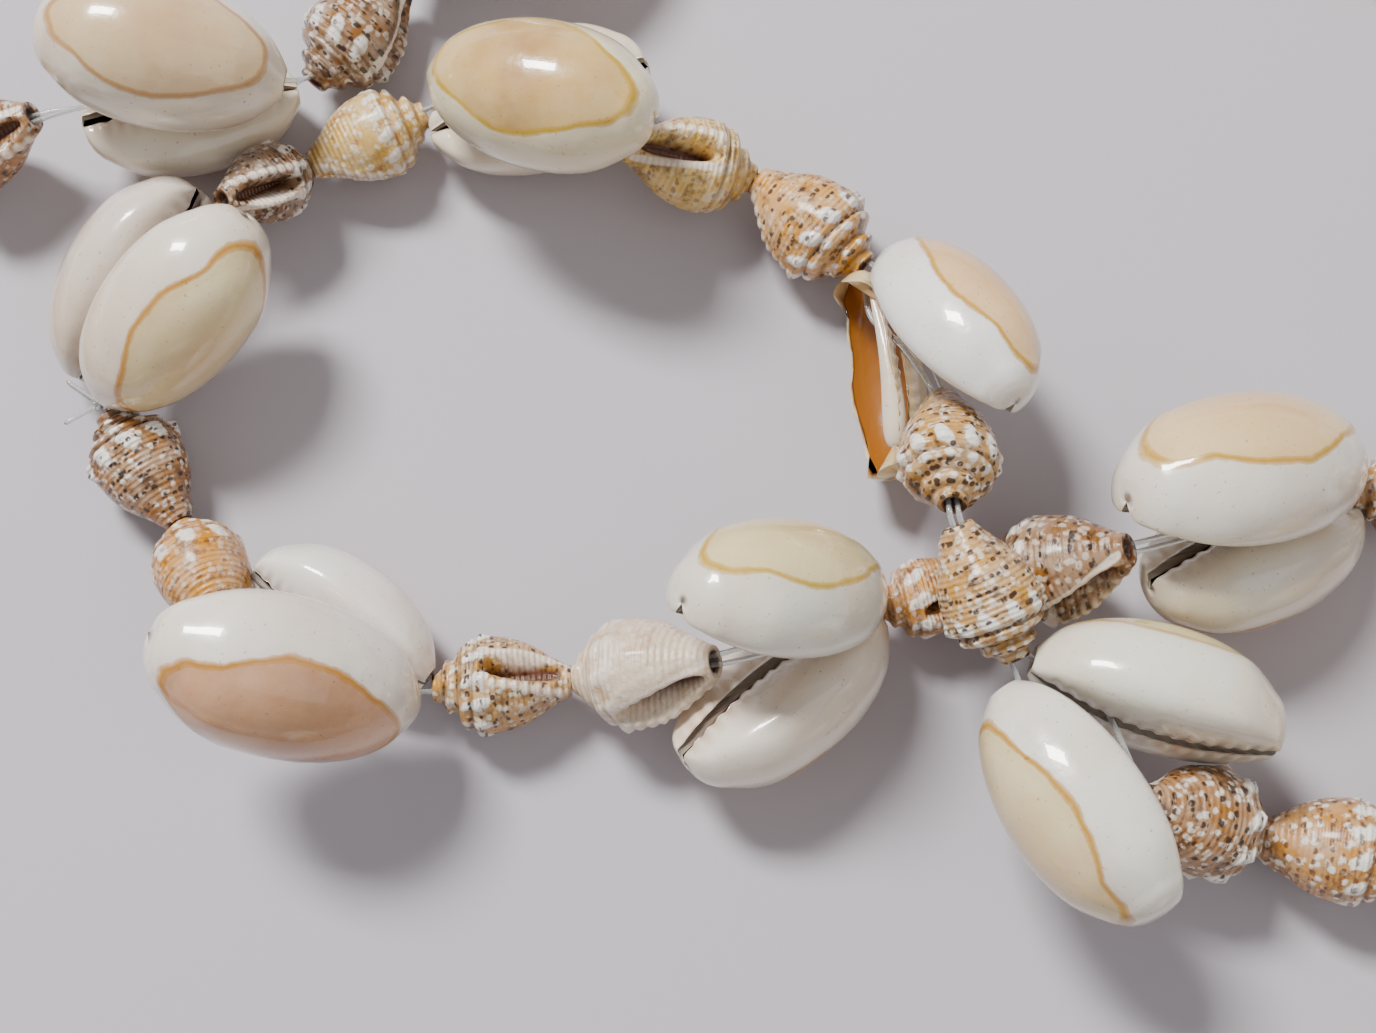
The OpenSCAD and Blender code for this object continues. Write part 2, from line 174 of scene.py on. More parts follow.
# Every row is a pair: where its tips are in pitches, the turns of the two dove shells before
# it, their shifts ahead, at the joint and at the end, their sizes, and the pair's lift.
X, Y, FIRST, SECOND, AHEAD, MID, END, BIG_1, BIG_2, LIFT = range(10)
ROUTE = [
    [ 0.65, -0.35,  15,  11, 0.03, 0.00, 0.00, 1.06, 1.10, 0.9],
    [ 0.38,  0.50,   7, -19, 0.10, 1.18, 0.00, 1.00, 1.00, 0.1],
    [-0.52,  0.87, -19,  15, 0.04, 0.00, 0.50, 1.04, 1.00, 0.0],
    [-1.24,  0.25, -15,  -1, 0.19, 0.00, 0.00, 0.93, 0.82, 0.0],
    [-0.53, -0.37, -14, -19, 0.32, 0.00, 0.00, 0.96, 0.96, 0.0],
    [ 0.38, -0.21,  -7,  -5, 0.04, 0.00, 0.00, 0.98, 1.10, 0.0],
    [ 1.36,  0.03,   0,  -5, 0.00, 0.00, 0.00, 0.80, 1.08, 0.0],
    [ 2.30, -0.20,  15,   0, 0.00, 0.00, 0.00, 1.00, 1.00, 0.0],
    [ 2.34, -1.26,   0,   0, 0.40, 0.00, 0.00, 1.00, 0.96, 0.0],
    [ 1.36, -1.60,  20,   0, 0.15, 0.00, 0.00, 1.04, 1.00, 0.0],
    [ 0.34, -1.78,   5,   0, 0.00, 0.00, 0.00, 1.00, 1.04, 0.0],
    [-0.70, -1.76,   6,   0, 0.00, 0.00, 0.00, 0.96, 1.00, 0.0],
    [-1.68, -1.40,  10,   4, 0.00, 0.00, 0.00, 1.00, 1.04, 0.0],
    [-2.14, -0.46,  18,   0, 0.00, 0.00, 0.00, 1.04, 0.96, 0.0],
    [-1.86,  0.55,  16,   4, 0.00, 0.00, 0.00, 1.00, 1.00, 0.0],
    [-0.83,  0.89,  18,   0, 0.00, 0.00, 0.50, 1.00, 1.00, 0.0],
    [-0.12,  1.58,   6,   0, 0.20, 0.00, 0.00, 1.04, 0.96, 0.0],
    [ 0.88,  1.70,  12,   4, 0.00, 0.00, 0.00, 1.00, 1.04, 0.0],
    [ 1.86,  1.28,  14,   0, 0.00, 0.00, 0.00, 0.96, 1.00, 0.0],
    [ 2.72,  0.56,  16,   0, 0.00, 0.00, 0.00, 1.00, 1.04, 0.0],
    [ 2.64, -0.42,  10,   0, 0.00, 0.00, 0.00, 1.04, 0.96, 0.5],
    [ 1.44, -0.72,   0,   0, 0.40, 1.00, 0.00, 1.00, 1.00, 0.3],
]
# How far both cowries open and lean, how far the pair is turned over, the cowries' sizes, and
# which way the mouths of the two dove shells face.
OPEN_A, OPEN_B, LEAN_A, LEAN_B, STACK, BIG_A, BIG_B, MOUTH_1, MOUTH_2 = range(9)
STACKED = 90
PAIRS = [
    [ 10,  30,  5,  0,  14, 0.98, 0.96,  160, -150],
    [ 22,   0,  0,  0, -35, 0.84, 0.88,  170,  160],
    [-32,   0,  0,  0, -90, 0.92, 0.94,  120,    0],
    [  6,   4,  0,  0,  30, 0.95, 0.90,  100,   40],
    [ 22,   0,  0,  0, -45, 0.80, 1.04, -170,  150],
    [  0,  22,  0,  0,  40, 0.97, 0.95,   20,  -60],
    [  0,   5,  0,  0,  40, 1.08, 0.95,  -30,  -70],
    [  0,  12,  0,  0,  20, 0.98, 0.96,   40,  150],
    [  6,   0,  0,  0, -20, 0.97, 1.00, -150,   60],
    [  0,   0,  0,  5,  25, 1.00, 0.96,   90, -120],
    [  0,   0,  5,  0, -25, 1.02, 0.98,  -60,  130],
    [  0,   0,  0,  0,  20, 0.98, 1.00,  160,  -20],
    [  0,   0,  5,  0, -20, 1.00, 0.97,  -90,   80],
    [  0,   0,  0,  0,  25, 0.97, 1.00,   30, -160],
    [  0,   0,  0,  0,  20, 1.00, 0.96,  120,  100],
    [ -5, -18,  0,  0, -90, 0.86, 0.95,   30,  -30],
    [  0,  12,  0,  5,  25, 1.00, 0.97,  -90,  170],
    [  0,   0,  0,  0, -25, 0.98, 1.00,   70,  -50],
    [  0,   0,  5,  0,  20, 1.00, 0.98, -130,  110],
    [  0,   0,  0,  0, -20, 0.97, 0.99,  150,  -70],
    [  0,  11,  0,  5,  25, 1.00, 0.96,  -20,  140],
    [  0,   0,  0,  0, -15, 0.99, 0.97,   50, -110],
]
# Profiles: shares of the length, from the tip or the spire, and of the half width.
COWRIE = [
    (0.00, 0.20), (0.03, 0.34), (0.08, 0.53), (0.16, 0.72), (0.28, 0.88), (0.42, 0.98),
    (0.55, 1.00), (0.68, 0.96), (0.80, 0.84), (0.90, 0.62), (0.96, 0.42), (1.00, 0.22),
]
DOVE = [
    (0.00, 0.28), (0.08, 0.40), (0.09, 0.46), (0.18, 0.62), (0.19, 0.70), (0.28, 0.92),
    (0.38, 1.00), (0.50, 0.96), (0.65, 0.80), (0.80, 0.57), (0.92, 0.40), (1.00, 0.30),
]
COUNT = len(ROUTE)
PITCH = 2 * DOVE_LENGTH + DOVE_GAP + TIP_GAP + PAIR_SHARE * COWRIE_LENGTH
MIDDLE = np.array([0.319, -0.035])
BASE_DEPTH = COWRIE_HEIGHT - COWRIE_WIDTH / 2
BASE_RADIUS = BASE_SHARE * COWRIE_LENGTH
THREAD_HEIGHT = DOVE_WIDTH / 2 * max(max(r[BIG_1], r[BIG_2]) for r in ROUTE)
STRAND_APART = (THREAD + STRAND_GAP) / 2
print("pairs", COUNT, "pitch", round(PITCH, 2), "thread height", round(THREAD_HEIGHT, 2))

# %% [markdown]
# On the real string the shells push each other into place. A simulation could do that, but
# plain angles are enough: each dove shell points from one pair's tips towards the next one's.


# %% Angles in degrees
def sind(angle):
    """Sine of an angle in degrees."""
    return math.sin(math.radians(angle))


def cosd(angle):
    """Cosine of an angle in degrees."""
    return math.cos(math.radians(angle))


def asind(value):
    """The angle whose sine this is, in degrees."""
    return math.degrees(math.asin(value))


def acosd(value):
    """The angle whose cosine this is, in degrees."""
    return math.degrees(math.acos(value))


def heading(v):
    """The angle of a vector seen from above, from the X axis."""
    return math.degrees(math.atan2(v[1], v[0]))


def wrap(angle):
    """The same angle between minus and plus half a turn."""
    return (angle + 900) % 360 - 180


def way(angle, rise=0):
    """A vector of length one at an angle round the Z axis and a rise above the surface."""
    return np.array([cosd(angle) * cosd(rise), sind(angle) * cosd(rise), sind(rise)])


print("370 degrees wraps to", wrap(370), "and a way of 90 degrees is", np.round(way(90), 3))


# %% From the tables to places: the dove shells
def sign_of(side):
    """Plus one on the left of the threads' way, where side is 0, and minus one on the right."""
    return 1 if side == 0 else -1


def tips(i):
    """Where a pair's tips meet, on the surface: its place in the table times the pitch."""
    return PITCH * np.array([*(np.array(ROUTE[i % COUNT][X:Y + 1]) - MIDDLE), 0.0])


def lift(i):
    """How high a pair lies over its rest: its share in the table times a dove shell's width."""
    return ROUTE[i % COUNT][LIFT] * DOVE_WIDTH


def base_rise(along):
    """How far the round base has come in: a circle's drop at a distance from its top."""
    return BASE_RADIUS - np.sqrt(BASE_RADIUS ** 2 - ((along - 0.5) * COWRIE_LENGTH) ** 2)


def thickness(along, lean):
    """From the axis to the base, or to the margin if the shell leans past it: the half width
    times the cosine of the margin's angle less the lean."""
    half = np.interp(along, *np.array(COWRIE).T) * COWRIE_WIDTH / 2
    edge = acosd(min(1, (BASE_DEPTH - base_rise(along)) / half))
    return half * cosd(max(0, edge - abs(lean)))


def tip_apart(turned, lean, big):
    """From a turned cowrie's tip to the middle of its pair: half the gap and the furthest that
    any ring of its profile reaches across."""
    return TOUCH_GAP / 2 + big * max(
        thickness(along, lean) * cosd(turned) - along * COWRIE_LENGTH * sind(turned)
        for along, _ in COWRIE)


def floor_rise(height, big):
    """The least rise at which the belly is above the surface, over all the profile's rings."""
    wide = np.array(COWRIE)[:, 1] * COWRIE_WIDTH / 2
    long = np.array(COWRIE)[:, 0] * COWRIE_LENGTH
    reach = big * np.hypot(long, wide)
    return np.degrees(np.arccos(np.minimum(1, height / reach)) - np.arctan2(long, wide)).max()


def stacked(i):
    """Whether one cowrie of the pair lies right on top of the other."""
    return abs(PAIRS[i][STACK]) == STACKED


def low_seat(i):
    """Height of a pair's middle, and the rise of its lower cowrie, which rests on the floor."""
    p = PAIRS[i]
    low = 1 if p[STACK] > 0 else 0
    big = p[BIG_A + low]
    apart = tip_apart(0, p[LEAN_A + low], big) + (THREAD if stacked(i) else 0)
    middle = THREAD_HEIGHT + lift(i) + apart * sind(p[STACK]) ** 2
    return middle, floor_rise(middle - apart * abs(sind(p[STACK])), big)


def dove_points(i):
    """Ends of the two dove shells before a pair: each follows its own turn from the way between
    the tips, and the second one rises to the middle of its pair."""
    r, back = ROUTE[i], tips(i - 1)
    straight = heading(tips(i) - back)
    first_way, second_way = straight + r[FIRST], straight + r[SECOND]
    first_long, second_long = r[BIG_1] * DOVE_LENGTH, r[BIG_2] * DOVE_LENGTH
    climb = asind((r[MID] * DOVE_WIDTH - lift(i - 1)) / first_long)
    base = np.array([0, 0, THREAD_HEIGHT + lift(i - 1)])
    start = back + base + (TIP_GAP + r[AHEAD] * DOVE_WIDTH) * way(first_way)
    joint = start + first_long * way(first_way, climb)
    after = joint + (1 + r[MID]) * DOVE_GAP * way((first_way + second_way) / 2)
    reach = np.linalg.norm((after + second_long * way(second_way) - tips(i))[:2])
    height, low_rise = low_seat(i)
    middle = THREAD_HEIGHT + lift(i) if stacked(i) else height + reach * sind(low_rise)
    rise = asind((middle + r[END] * DOVE_WIDTH - after[2]) / second_long)
    return [start, joint, after, after + second_long * way(second_way, rise)]


DOVES = [dove_points(i) for i in range(COUNT)]
print("first dove shell", DOVES[0][0].round(2), "to", DOVES[0][1].round(2))

# %% [markdown]
# A pair hangs base to base at its drilled tips. The two cowries open until they clear the
# dove shell that is tucked between their free ends, and the lower one rests on the surface.


# %% From the tables to places: the cowries
MOST_OPEN = 0.9


def nest_angle(i, side):
    """The least angle at which a cowrie clears the dove shell behind its pair: over the dove
    shell's rings, the largest whose sine is their half width over their distance."""
    start, end, tip = DOVES[i][2], DOVES[i][3], tips(i)
    back = heading(end - tip)
    reach = COWRIE_LENGTH * PAIRS[i][BIG_A + side]
    angles = []
    for along, out in DOVE:
        at = (end + (1 - along) * (start - end) - tip)[:2]
        far = np.linalg.norm(at)
        off = sign_of(side) * wrap(back - heading(at))
        nearer = thickness(min(1, far / reach), 0) - tip_apart(NEST_OPEN, 0, 1)
        beside = ROUTE[i][BIG_2] * out * DOVE_WIDTH / 2 + 2 * TOUCH_GAP + nearer
        angles.append(asind(min(MOST_OPEN, sind(off) + beside / far)) if far < reach else 0)
    return max(angles)


def seat(i, side):
    """Tip, heading, rise, roll and size of a cowrie, in millimetres and degrees."""
    p, sign = PAIRS[i], sign_of(side)
    over = p[STACK]
    back = heading(DOVES[i][3] - tips(i))
    least = p[OPEN_A:LEAN_A]
    if not stacked(i):
        least = [max(p[OPEN_A + k], nest_angle(i, k)) for k in (0, 1)]
    big, lean = p[BIG_A + side], p[LEAN_A + side]
    apart = tip_apart(0 if stacked(i) else least[side], lean, big) + (THREAD if stacked(i) else 0)
    height, low_rise = low_seat(i)
    out = cosd(over) * way(back - 90) + sind(over) * np.array([0, 0, 1])
    turn = least[side] * (1 if stacked(i) else cosd(over))
    shift = -CROSS_SHARE * COWRIE_LENGTH * sind(sign * turn) if stacked(i) else 0
    tip = tips(i) + [0, 0, height] + sign * apart * out + shift * way(back - 90)
    above = low_rise + (STACK_RISE if stacked(i) else sum(least) * abs(sind(over)))
    level = max(above if sign * over > 0 else 0, floor_rise(tip[2], big))
    roll = 90 - over - lean if side == 0 else lean - 90 - over
    return tip, back - sign * turn, level, roll, big


SEATS = [[seat(i, side) for side in (0, 1)] for i in range(COUNT)]


def placed(s, points):
    """Points in a cowrie's own axes, along, across and towards its back, in the necklace."""
    tip, turn, level, roll, big = s
    along, level_across = way(turn, level), way(turn + 90)
    level_up = np.cross(along, level_across)
    across = cosd(roll) * level_across + sind(roll) * level_up
    up = cosd(roll) * level_up - sind(roll) * level_across
    return tip + big * (np.asarray(points) @ np.stack([along, across, up]))


print("first cowrie's tip", SEATS[0][0][0].round(2))

# %% [markdown]
# ## Cowries
#
# A ring cowrie is a low dome over a nearly flat base that a toothed slit runs along. A ray
# from the axis meets the round back or the base, whichever is nearer, and the two are blended
# so that the margin is round. The grid runs round the section from lip to lip, and along the
# outside and back along the inside, so that the wall is closed.

# %% The form of a cowrie
# How sharp the margin is; the ring's half length, half width and middle as shares, and the least
# share of the full width that it follows. Where no ring can be, rho is FAR.
MARGIN_POWER = 9.0
RING_LONG, RING_WIDE, RING_MIDDLE, RING_LEAST, FAR = 0.43, 0.80, 0.51, 0.85, 3.0
# Depths in millimetres: the lips roll in, the teeth stand up, the ring is a low ridge.
LIP_ROLL, TOOTH_HIGH, RING_HIGH, BACK_LOW = 0.30, 0.24, 0.05, 0.04
TOOTH_PITCH, TOOTH_NOTCH = 1.25, 0.20
LIP_EDGE = math.atan2(0.75, 3.0)
# The free end is drawn in more than the solid's, as it has only a small notch there.
COWRIE_LOOK = COWRIE[:-2] + [(0.955, 0.465), (0.98, 0.335), (0.993, 0.21), (1.00, 0.035)]


def teeth(along):
    """A wave along the slit, one on each tooth and zero between two."""
    return wave(2 * np.pi * along * COWRIE_LENGTH / TOOTH_PITCH)


def cowrie_form(along, turn, wall):
    """Points of a cowrie's wall, rho, and the painted shade in the gaps between the teeth. along
    runs from tip to free end, turn goes round the axis from the middle of the base and wall is
    how far in the point is. The radius is the round back's and the base's, blended: the minus
    ninth root of the sum of their minus ninth powers. rho is the distance from the ring's middle
    over the ring's radius."""
    out = smooth(COWRIE_LOOK, along) * COWRIE_WIDTH / 2
    depth = BASE_DEPTH - base_rise(along)
    c, s2 = np.cos(turn), np.sin(turn) ** 2
    base = 2 * depth / (c + np.sqrt(c * c + 2 * s2 * depth / BASE_RADIUS))
    radius = (out ** -MARGIN_POWER + base ** -MARGIN_POWER) ** (-1 / MARGIN_POWER)
    from_lip = (np.minimum(turn, 2 * np.pi - turn) - LIP_EDGE) * radius
    tooth, body = teeth(along), step(0.03, 0.12, along) * step(1.0, 0.9, along)
    across, high = radius * np.sin(turn), -radius * np.cos(turn)
    ring_half = RING_WIDE * COWRIE_WIDTH / 2 * np.maximum(2 * out / COWRIE_WIDTH, RING_LEAST)
    rho = np.hypot((along - RING_MIDDLE) / RING_LONG, across / ring_half)
    rho = np.where(high > 0, rho, FAR)
    outside = wall <= 0
    radius = radius + np.where(outside, 1, 0) * (
        -LIP_ROLL * bell(from_lip, 0.45)
        + TOOTH_HIGH * (tooth - 1) * bell(from_lip - 0.8, 0.9) * body
        + RING_HIGH * bell(rho - 1, 0.05) - BACK_LOW * step(1.0, 0.9, rho))
    radius = np.where(outside, radius, np.maximum(radius - wall, 0.45 * radius))
    point = np.stack([along * COWRIE_LENGTH, radius * np.sin(turn), -radius * np.cos(turn)], -1)
    # Painted shade in the gaps between the teeth, strongest just off the slit's edge.
    tooth_gap_shade = (1 - tooth) * bell(from_lip - 0.5, 0.9) * body * outside
    return point, np.where(outside, rho, FAR), tooth_gap_shade


print("a cowrie of full size is", COWRIE_LENGTH, "by", COWRIE_WIDTH, "by", COWRIE_HEIGHT, "mm")

# %% [markdown]
# The grid has to be closed, or the shell would have no thickness. Its rows run along the
# outside to the free end and come back along the inside, so one grid makes both skins.

# %% The grid of a cowrie
ALONG_OUT, ALONG_IN, AROUND = 79, 14, 60
# How much closer the rows lie at both ends, and how far the shells' patterns are set apart.
CROWDING = 0.11
COWRIE_SCATTER = np.array([1.7, 2.3, 3.1])


def profile_loop(thick):
    """Shares of the length and depths in the wall, once out along a shell and back inside. A
    share less a sine of the full turn crowds the rows at both ends."""
    t = np.linspace(0, 1, ALONG_OUT)
    out = t - CROWDING * np.sin(2 * np.pi * t)
    inner = np.linspace(0.985, 0.015, ALONG_IN)
    return np.concatenate([out, inner]), np.repeat([0.0, thick], [ALONG_OUT, ALONG_IN])


def with_alpha(place):
    """Rows of three with a fourth column of ones, as a colour attribute has."""
    return np.concatenate([place, np.ones((len(place), 1))], 1)


def lip_caps(column):
    """Triangles that close the wall at one edge of the grid. Every inner point serves a fan of
    outer ones, because the outside has six spans for each span inside."""
    spans = (ALONG_OUT - 1) // (ALONG_IN - 1)
    outer = np.arange(ALONG_OUT) * AROUND + column
    inner = (ALONG_OUT + ALONG_IN - 1 - np.arange(ALONG_IN)) * AROUND + column
    k = np.repeat(np.arange(ALONG_IN - 1), spans)
    fan = np.stack([inner[k], outer[:-1], outer[1:]], 1)
    seam = np.stack([inner[:-1], outer[spans::spans], inner[1:]], 1)
    faces = np.concatenate([fan, seam])
    return faces if column == 0 else faces[:, ::-1]


def cowrie_wall(name, s, first, last, paint, seed, thick=COWRIE_WALL):
    """One wall of a cowrie between two edges, given as angles for each place along it."""
    along, wall = profile_loop(thick)
    u = np.linspace(0, 1, AROUND)[None, :]
    turn = first(along)[:, None] * (1 - u) + last(along)[:, None] * u
    shape, rho, tooth_gap_shade = cowrie_form(along[:, None] + 0 * u, turn, wall[:, None] + 0 * u)
    points = placed(s, shape.reshape(-1, 3)) * MM
    quads = grid_faces(len(along), AROUND, True, False)
    inside = np.broadcast_to((wall > 0)[:, None], shape.shape[:2]).ravel()
    # Inside, the wall takes the hollow's tint, which in a whole cowrie is darkened for painted
    # shade.
    ground = np.where(inside[:, None], paint["hollow"], paint["side"])
    place = shape.reshape(-1, 3) / COWRIE_LENGTH + seed * COWRIE_SCATTER
    return mesh_object(
        name, points, quads, np.concatenate([lip_caps(0), lip_caps(AROUND - 1)]),
        floats={
            "rho": rho.ravel(), "tooth_gap_shade": tooth_gap_shade.ravel(), "inside": inside.astype(float),
            "band": (bell(shape[..., 0] / COWRIE_LENGTH - 0.45, 0.15) * paint["band"]).ravel(),
            "ring": paint["strength"],
        },
        colours={
            "ground": ground, "dorsum": paint["dorsum"], "gold": paint["gold"],
            "place": with_alpha(place),
        })


print("a cowrie's grid is", ALONG_OUT + ALONG_IN, "by", AROUND)


# %% [markdown]
# Every cowrie has its own tints. Those that the photograph shows are listed, and the hidden
# ones take turns through a short palette, as a handful of shells from one beach would.

# %% Tints of the cowries: back, side, ring, strength of ring, strength of the brown band
LISTED = {
    "01_a": ("#ead8a8", "#efe9dd", "#f0aa00", 1.0, 0.1),
    "01_b": ("#ded494", "#ebe7d8", "#e8a010", 0.7, 0.0),
    "02_a": ("#d9c6a4", "#ecd7a4", "#e6a820", 0.3, 0.0),
    "02_b": ("#efc48e", "#f5f3ee", "#f7b400", 1.0, 0.0),
    "03_a": ("#e2c893", "#e9e0cc", "#d88a00", 0.7, 0.2),
    "03_b": ("#d6b06c", "#efe3c2", "#f9c000", 1.0, 0.9),
    "04_a": ("#ead8a6", "#e8dccb", "#eea000", 1.0, 0.2),
    # This cowrie lies low in the shade of its partner. Its tints are darker and greyer than the
    # others': partly its own plain brownish tone, partly painted shade.
    "04_b": ("#d2bfa8", "#ddd0c3", "#c08428", 0.3, 0.1),
    "05_a": ("#f2bc74", "#f1ebe3", "#ea9420", 0.6, 0.0),
    "05_b": ("#d19a76", "#f1e8dc", "#ec9a00", 1.0, 0.7),
    "06_a": ("#ecdfa8", "#ece8da", "#f8c400", 1.0, 0.1),
    "06_b": ("#e2c092", "#ebdfcf", "#f2b000", 1.0, 0.3),
    "07_a": ("#f0cd96", "#f0e9dc", "#f6b600", 1.0, 0.1),
    "07_b": ("#e6c796", "#ece4d4", "#eeac00", 0.9, 0.2),
    "16_a": ("#dbac76", "#ece1cc", "#f4b400", 1.0, 0.9),
    "16_b": ("#dcc096", "#e6dac8", "#d88c08", 0.8, 0.3),
}
PALETTE = [
    ("#e8cf98", "#efe8dc", "#e69600", 1.0, 0.2), ("#d9ae7c", "#ebe1d0", "#e08a00", 1.0, 0.6),
    ("#ddd29a", "#ebe7d8", "#e2a410", 0.7, 0.0), ("#efc48e", "#f1ece2", "#ea9a00", 1.0, 0.1),
    ("#dcb888", "#e8decb", "#dc8800", 0.9, 0.5),
]
# The rings' tints are deepened and lose their blue, since bright light bleaches them.
GOLD_DEPTH = np.array([0.60, 0.62, 0.0, 1.0])
# The insides of whole cowries take the broken one's brown, darkened for painted shade, as they are
# seen only through the slit; the broken one's open hollow keeps its own brown. The dove shells'
# mouths and holes take the same dark: painted shade for their depth.
SHADED_HOLLOW, BROKEN_HOLLOW, PILLAR = "#5a3420", "#9c5f22", "#e2d6c2"
BROKEN_KEY = "02_a"


def cowrie_paint(key, seed):
    """The tints of one cowrie by name, listed or else from the palette in turn."""
    back, side, gold, strength, band = LISTED.get(key, PALETTE[seed % len(PALETTE)])
    hollow = BROKEN_HOLLOW if key == BROKEN_KEY else SHADED_HOLLOW
    return {"dorsum": colour(back), "side": colour(side), "gold": colour(gold) * GOLD_DEPTH,
            "hollow": colour(hollow), "strength": strength, "band": band}


print("listed cowries", len(LISTED), "tints for the others", len(PALETTE))

# %% [markdown]
# One cowrie is broken open along its back. A plane turned a little over fifty degrees from
# the back cuts the wall, and a little roughness makes the edge look chipped. What is left are
# two walls, on both sides of the slit, and the rolled lip inside shows as a pale rod.

# %% The edges of the slit and of the break
SLIT_HALF, BROKEN_WALL = 0.62, 0.55
BREAK_HEIGHT, BREAK_TURN = -0.01 * COWRIE_WIDTH, math.radians(54)
BREAK_MIDDLE = np.pi - BREAK_TURN


def lip_angle(along):
    """The slit's half width seen from the axis: its arc tangent over the base's depth. The
    slit is wider between two teeth."""
    depth = BASE_DEPTH - base_rise(along)
    between = TOOTH_NOTCH * (1 - teeth(along)) * step(0.06, 0.16, along) * step(0.97, 0.88, along)
    return np.arctan2(SLIT_HALF * step(-0.1, 0.2, along) + between, depth)


def other_lip(along):
    """The slit's other edge: a full turn less the first one's angle."""
    return 2 * np.pi - lip_angle(along)


def chips(along, shift):
    """A jagged line: a few sines that don't share a period, in radians."""
    a = along * COWRIE_LENGTH
    return (0.04 * np.sin(0.9 * a + shift) + 0.012 * np.sin(2.9 * a + 2 * shift)
            + 0.006 * np.sin(7.1 * a))


def break_half(along):
    """Half the angle that the break takes out of the round section: the angle whose cosine is
    the plane's height over the radius. It closes towards both ends."""
    out = smooth(COWRIE, along) * COWRIE_WIDTH / 2
    half = np.arccos(np.clip(BREAK_HEIGHT / out, -1, 1))
    return half * step(0.02, 0.12, along) * step(1.0, 0.93, along)


def near_break(along):
    """The break's first edge: its middle less its half, made jagged."""
    return BREAK_MIDDLE - break_half(along) + chips(along, 0.4)


def far_break(along):
    """The break's second edge: its middle and its half, made jagged in another way."""
    return BREAK_MIDDLE + break_half(along) + chips(along, 1.9)


middle_lip = math.degrees(lip_angle(np.array([0.5]))[0])
print("the slit's edge at the middle is", round(middle_lip, 1), "degrees from the base's middle")


# %% [markdown]
# The threads, the knot and the rolled lip are all rods that bend. A rod could be a curve with
# a round section. Here it is a grid too: a ring of points at each place of a path.


# %% Tubes, and joining
def tube(path, radii, sides, closed):
    """Points of a tube round a path of points: rings across the path's direction, with radii
    for each point. The rings' first axis stays level."""
    ahead = (np.roll(path, -1, 0) - np.roll(path, 1, 0)) if closed else np.gradient(path, axis=0)
    ahead = ahead / np.linalg.norm(ahead, axis=1, keepdims=True)
    level = np.cross([0, 0, 1.0], ahead)
    level = level / np.linalg.norm(level, axis=1, keepdims=True)
    above = np.cross(ahead, level)
    turn = np.linspace(0, 2 * np.pi, sides, endpoint=False)[None, :, None]
    round_it = np.cos(turn) * level[:, None] + np.sin(turn) * above[:, None]
    return path[:, None] + np.reshape(radii, (-1, 1, 1)) * round_it


def join(name, objects):
    """One object of several, which keeps their attributes."""
    with bpy.context.temp_override(active_object=objects[0], selected_editable_objects=objects):
        bpy.ops.object.join()
    objects[0].name = objects[0].data.name = name
    return objects[0]


sample = tube(np.array([[0, 0, 0], [1.0, 0, 0]]), [1.0, 1.0], 4, False)
print("a rod along two points with four sides is a grid of", sample.shape[:2])

# %% [markdown]
# Every cowrie is one object, because each has its own solid to stand in for. But for the broken
# one they share their form, and differ in size, seat and tints.

# %% Build the cowries
PILLAR_ROWS, PILLAR_SIDES = 40, 16


def pillar(name, s, paint):
    """The rolled lip inside the broken cowrie: a rod along a bent path, thick at the free end,
    where its radius falls to nothing as the root of one minus the tenth power does."""
    t = np.linspace(0, 1, PILLAR_ROWS)
    path = np.stack([
        (0.12 + 0.76 * t) * COWRIE_LENGTH, 0.9 + 0.2 * np.sin(3 * t),
        -1.2 - 0.7 * np.sin(np.pi * t)], 1)
    radii = (0.15 + 1.15 * t ** 0.8) * np.sqrt(1 - t ** 10 + 0.001)
    rod = tube(path, radii, PILLAR_SIDES, False).reshape(-1, 3)
    return mesh_object(
        name, placed(s, rod) * MM, grid_faces(PILLAR_ROWS, PILLAR_SIDES, False, True),
        floats={"rho": FAR, "tooth_gap_shade": 0.0, "inside": 0.0, "band": 0.0, "ring": 0.0},
        colours={"ground": colour(PILLAR), "dorsum": paint["dorsum"], "gold": paint["gold"],
                 "place": with_alpha(rod / COWRIE_LENGTH)})


def cowrie(i, side, key):
    """One cowrie: a single wall from lip to lip, or two walls and the pillar if it is broken."""
    name, s, seed = "shell_" + key, SEATS[i][side], 2 * i + side
    paint = cowrie_paint(key, seed)
    if key != BROKEN_KEY:
        return cowrie_wall(name, s, lip_angle, other_lip, paint, seed)
    near = cowrie_wall(name, s, lip_angle, near_break, paint, seed, BROKEN_WALL)
    far = cowrie_wall(name + "_far", s, far_break, other_lip, paint, seed, BROKEN_WALL)
    return join(name, [near, far, pillar(name + "_pillar", s, paint)])


cowries = {}
for i in range(COUNT):
    for side in (0, 1):
        key = f"{i + 1:02d}_{'ab'[side]}"
        cowries[key] = cowrie(i, side, key)
print("cowries", len(cowries), "faces of one", len(cowries["01_a"].data.polygons))

# %% [markdown]
# ## Dove shells
#
# A dove shell is a spindle with a stepped spire, knobs on its shoulder, fine ribs and a long
# narrow mouth with a thick lip. It could be a helix swept by a growing ring. A turned profile
# with a helical groove looks the same at this size and keeps the drilled hole exact.

# %% The form of a dove shell
HOLE, MOUTH_WALL = 0.62, 0.16
MOUTH_MIDDLE, MOUTH_REACH, MOUTH_HALF = 0.665, 0.285, 0.95
# The spire gains a whorl on this share of the length. Cords run round the narrow end, as many
# as would fill the whole length, and the mouth's lip has fine teeth.
WHORL_PITCH, CORDS, LIP_TOOTH_PITCH = 0.105, 15, 0.75
# Heights as shares of the radius, and the lip and the pillar beside the mouth in millimetres.
GROOVE_LOW, RIB_HIGH, CORD_HIGH, LIP_HIGH, PILLAR_LOW = 0.08, 0.03, 0.02, 0.34, 0.12


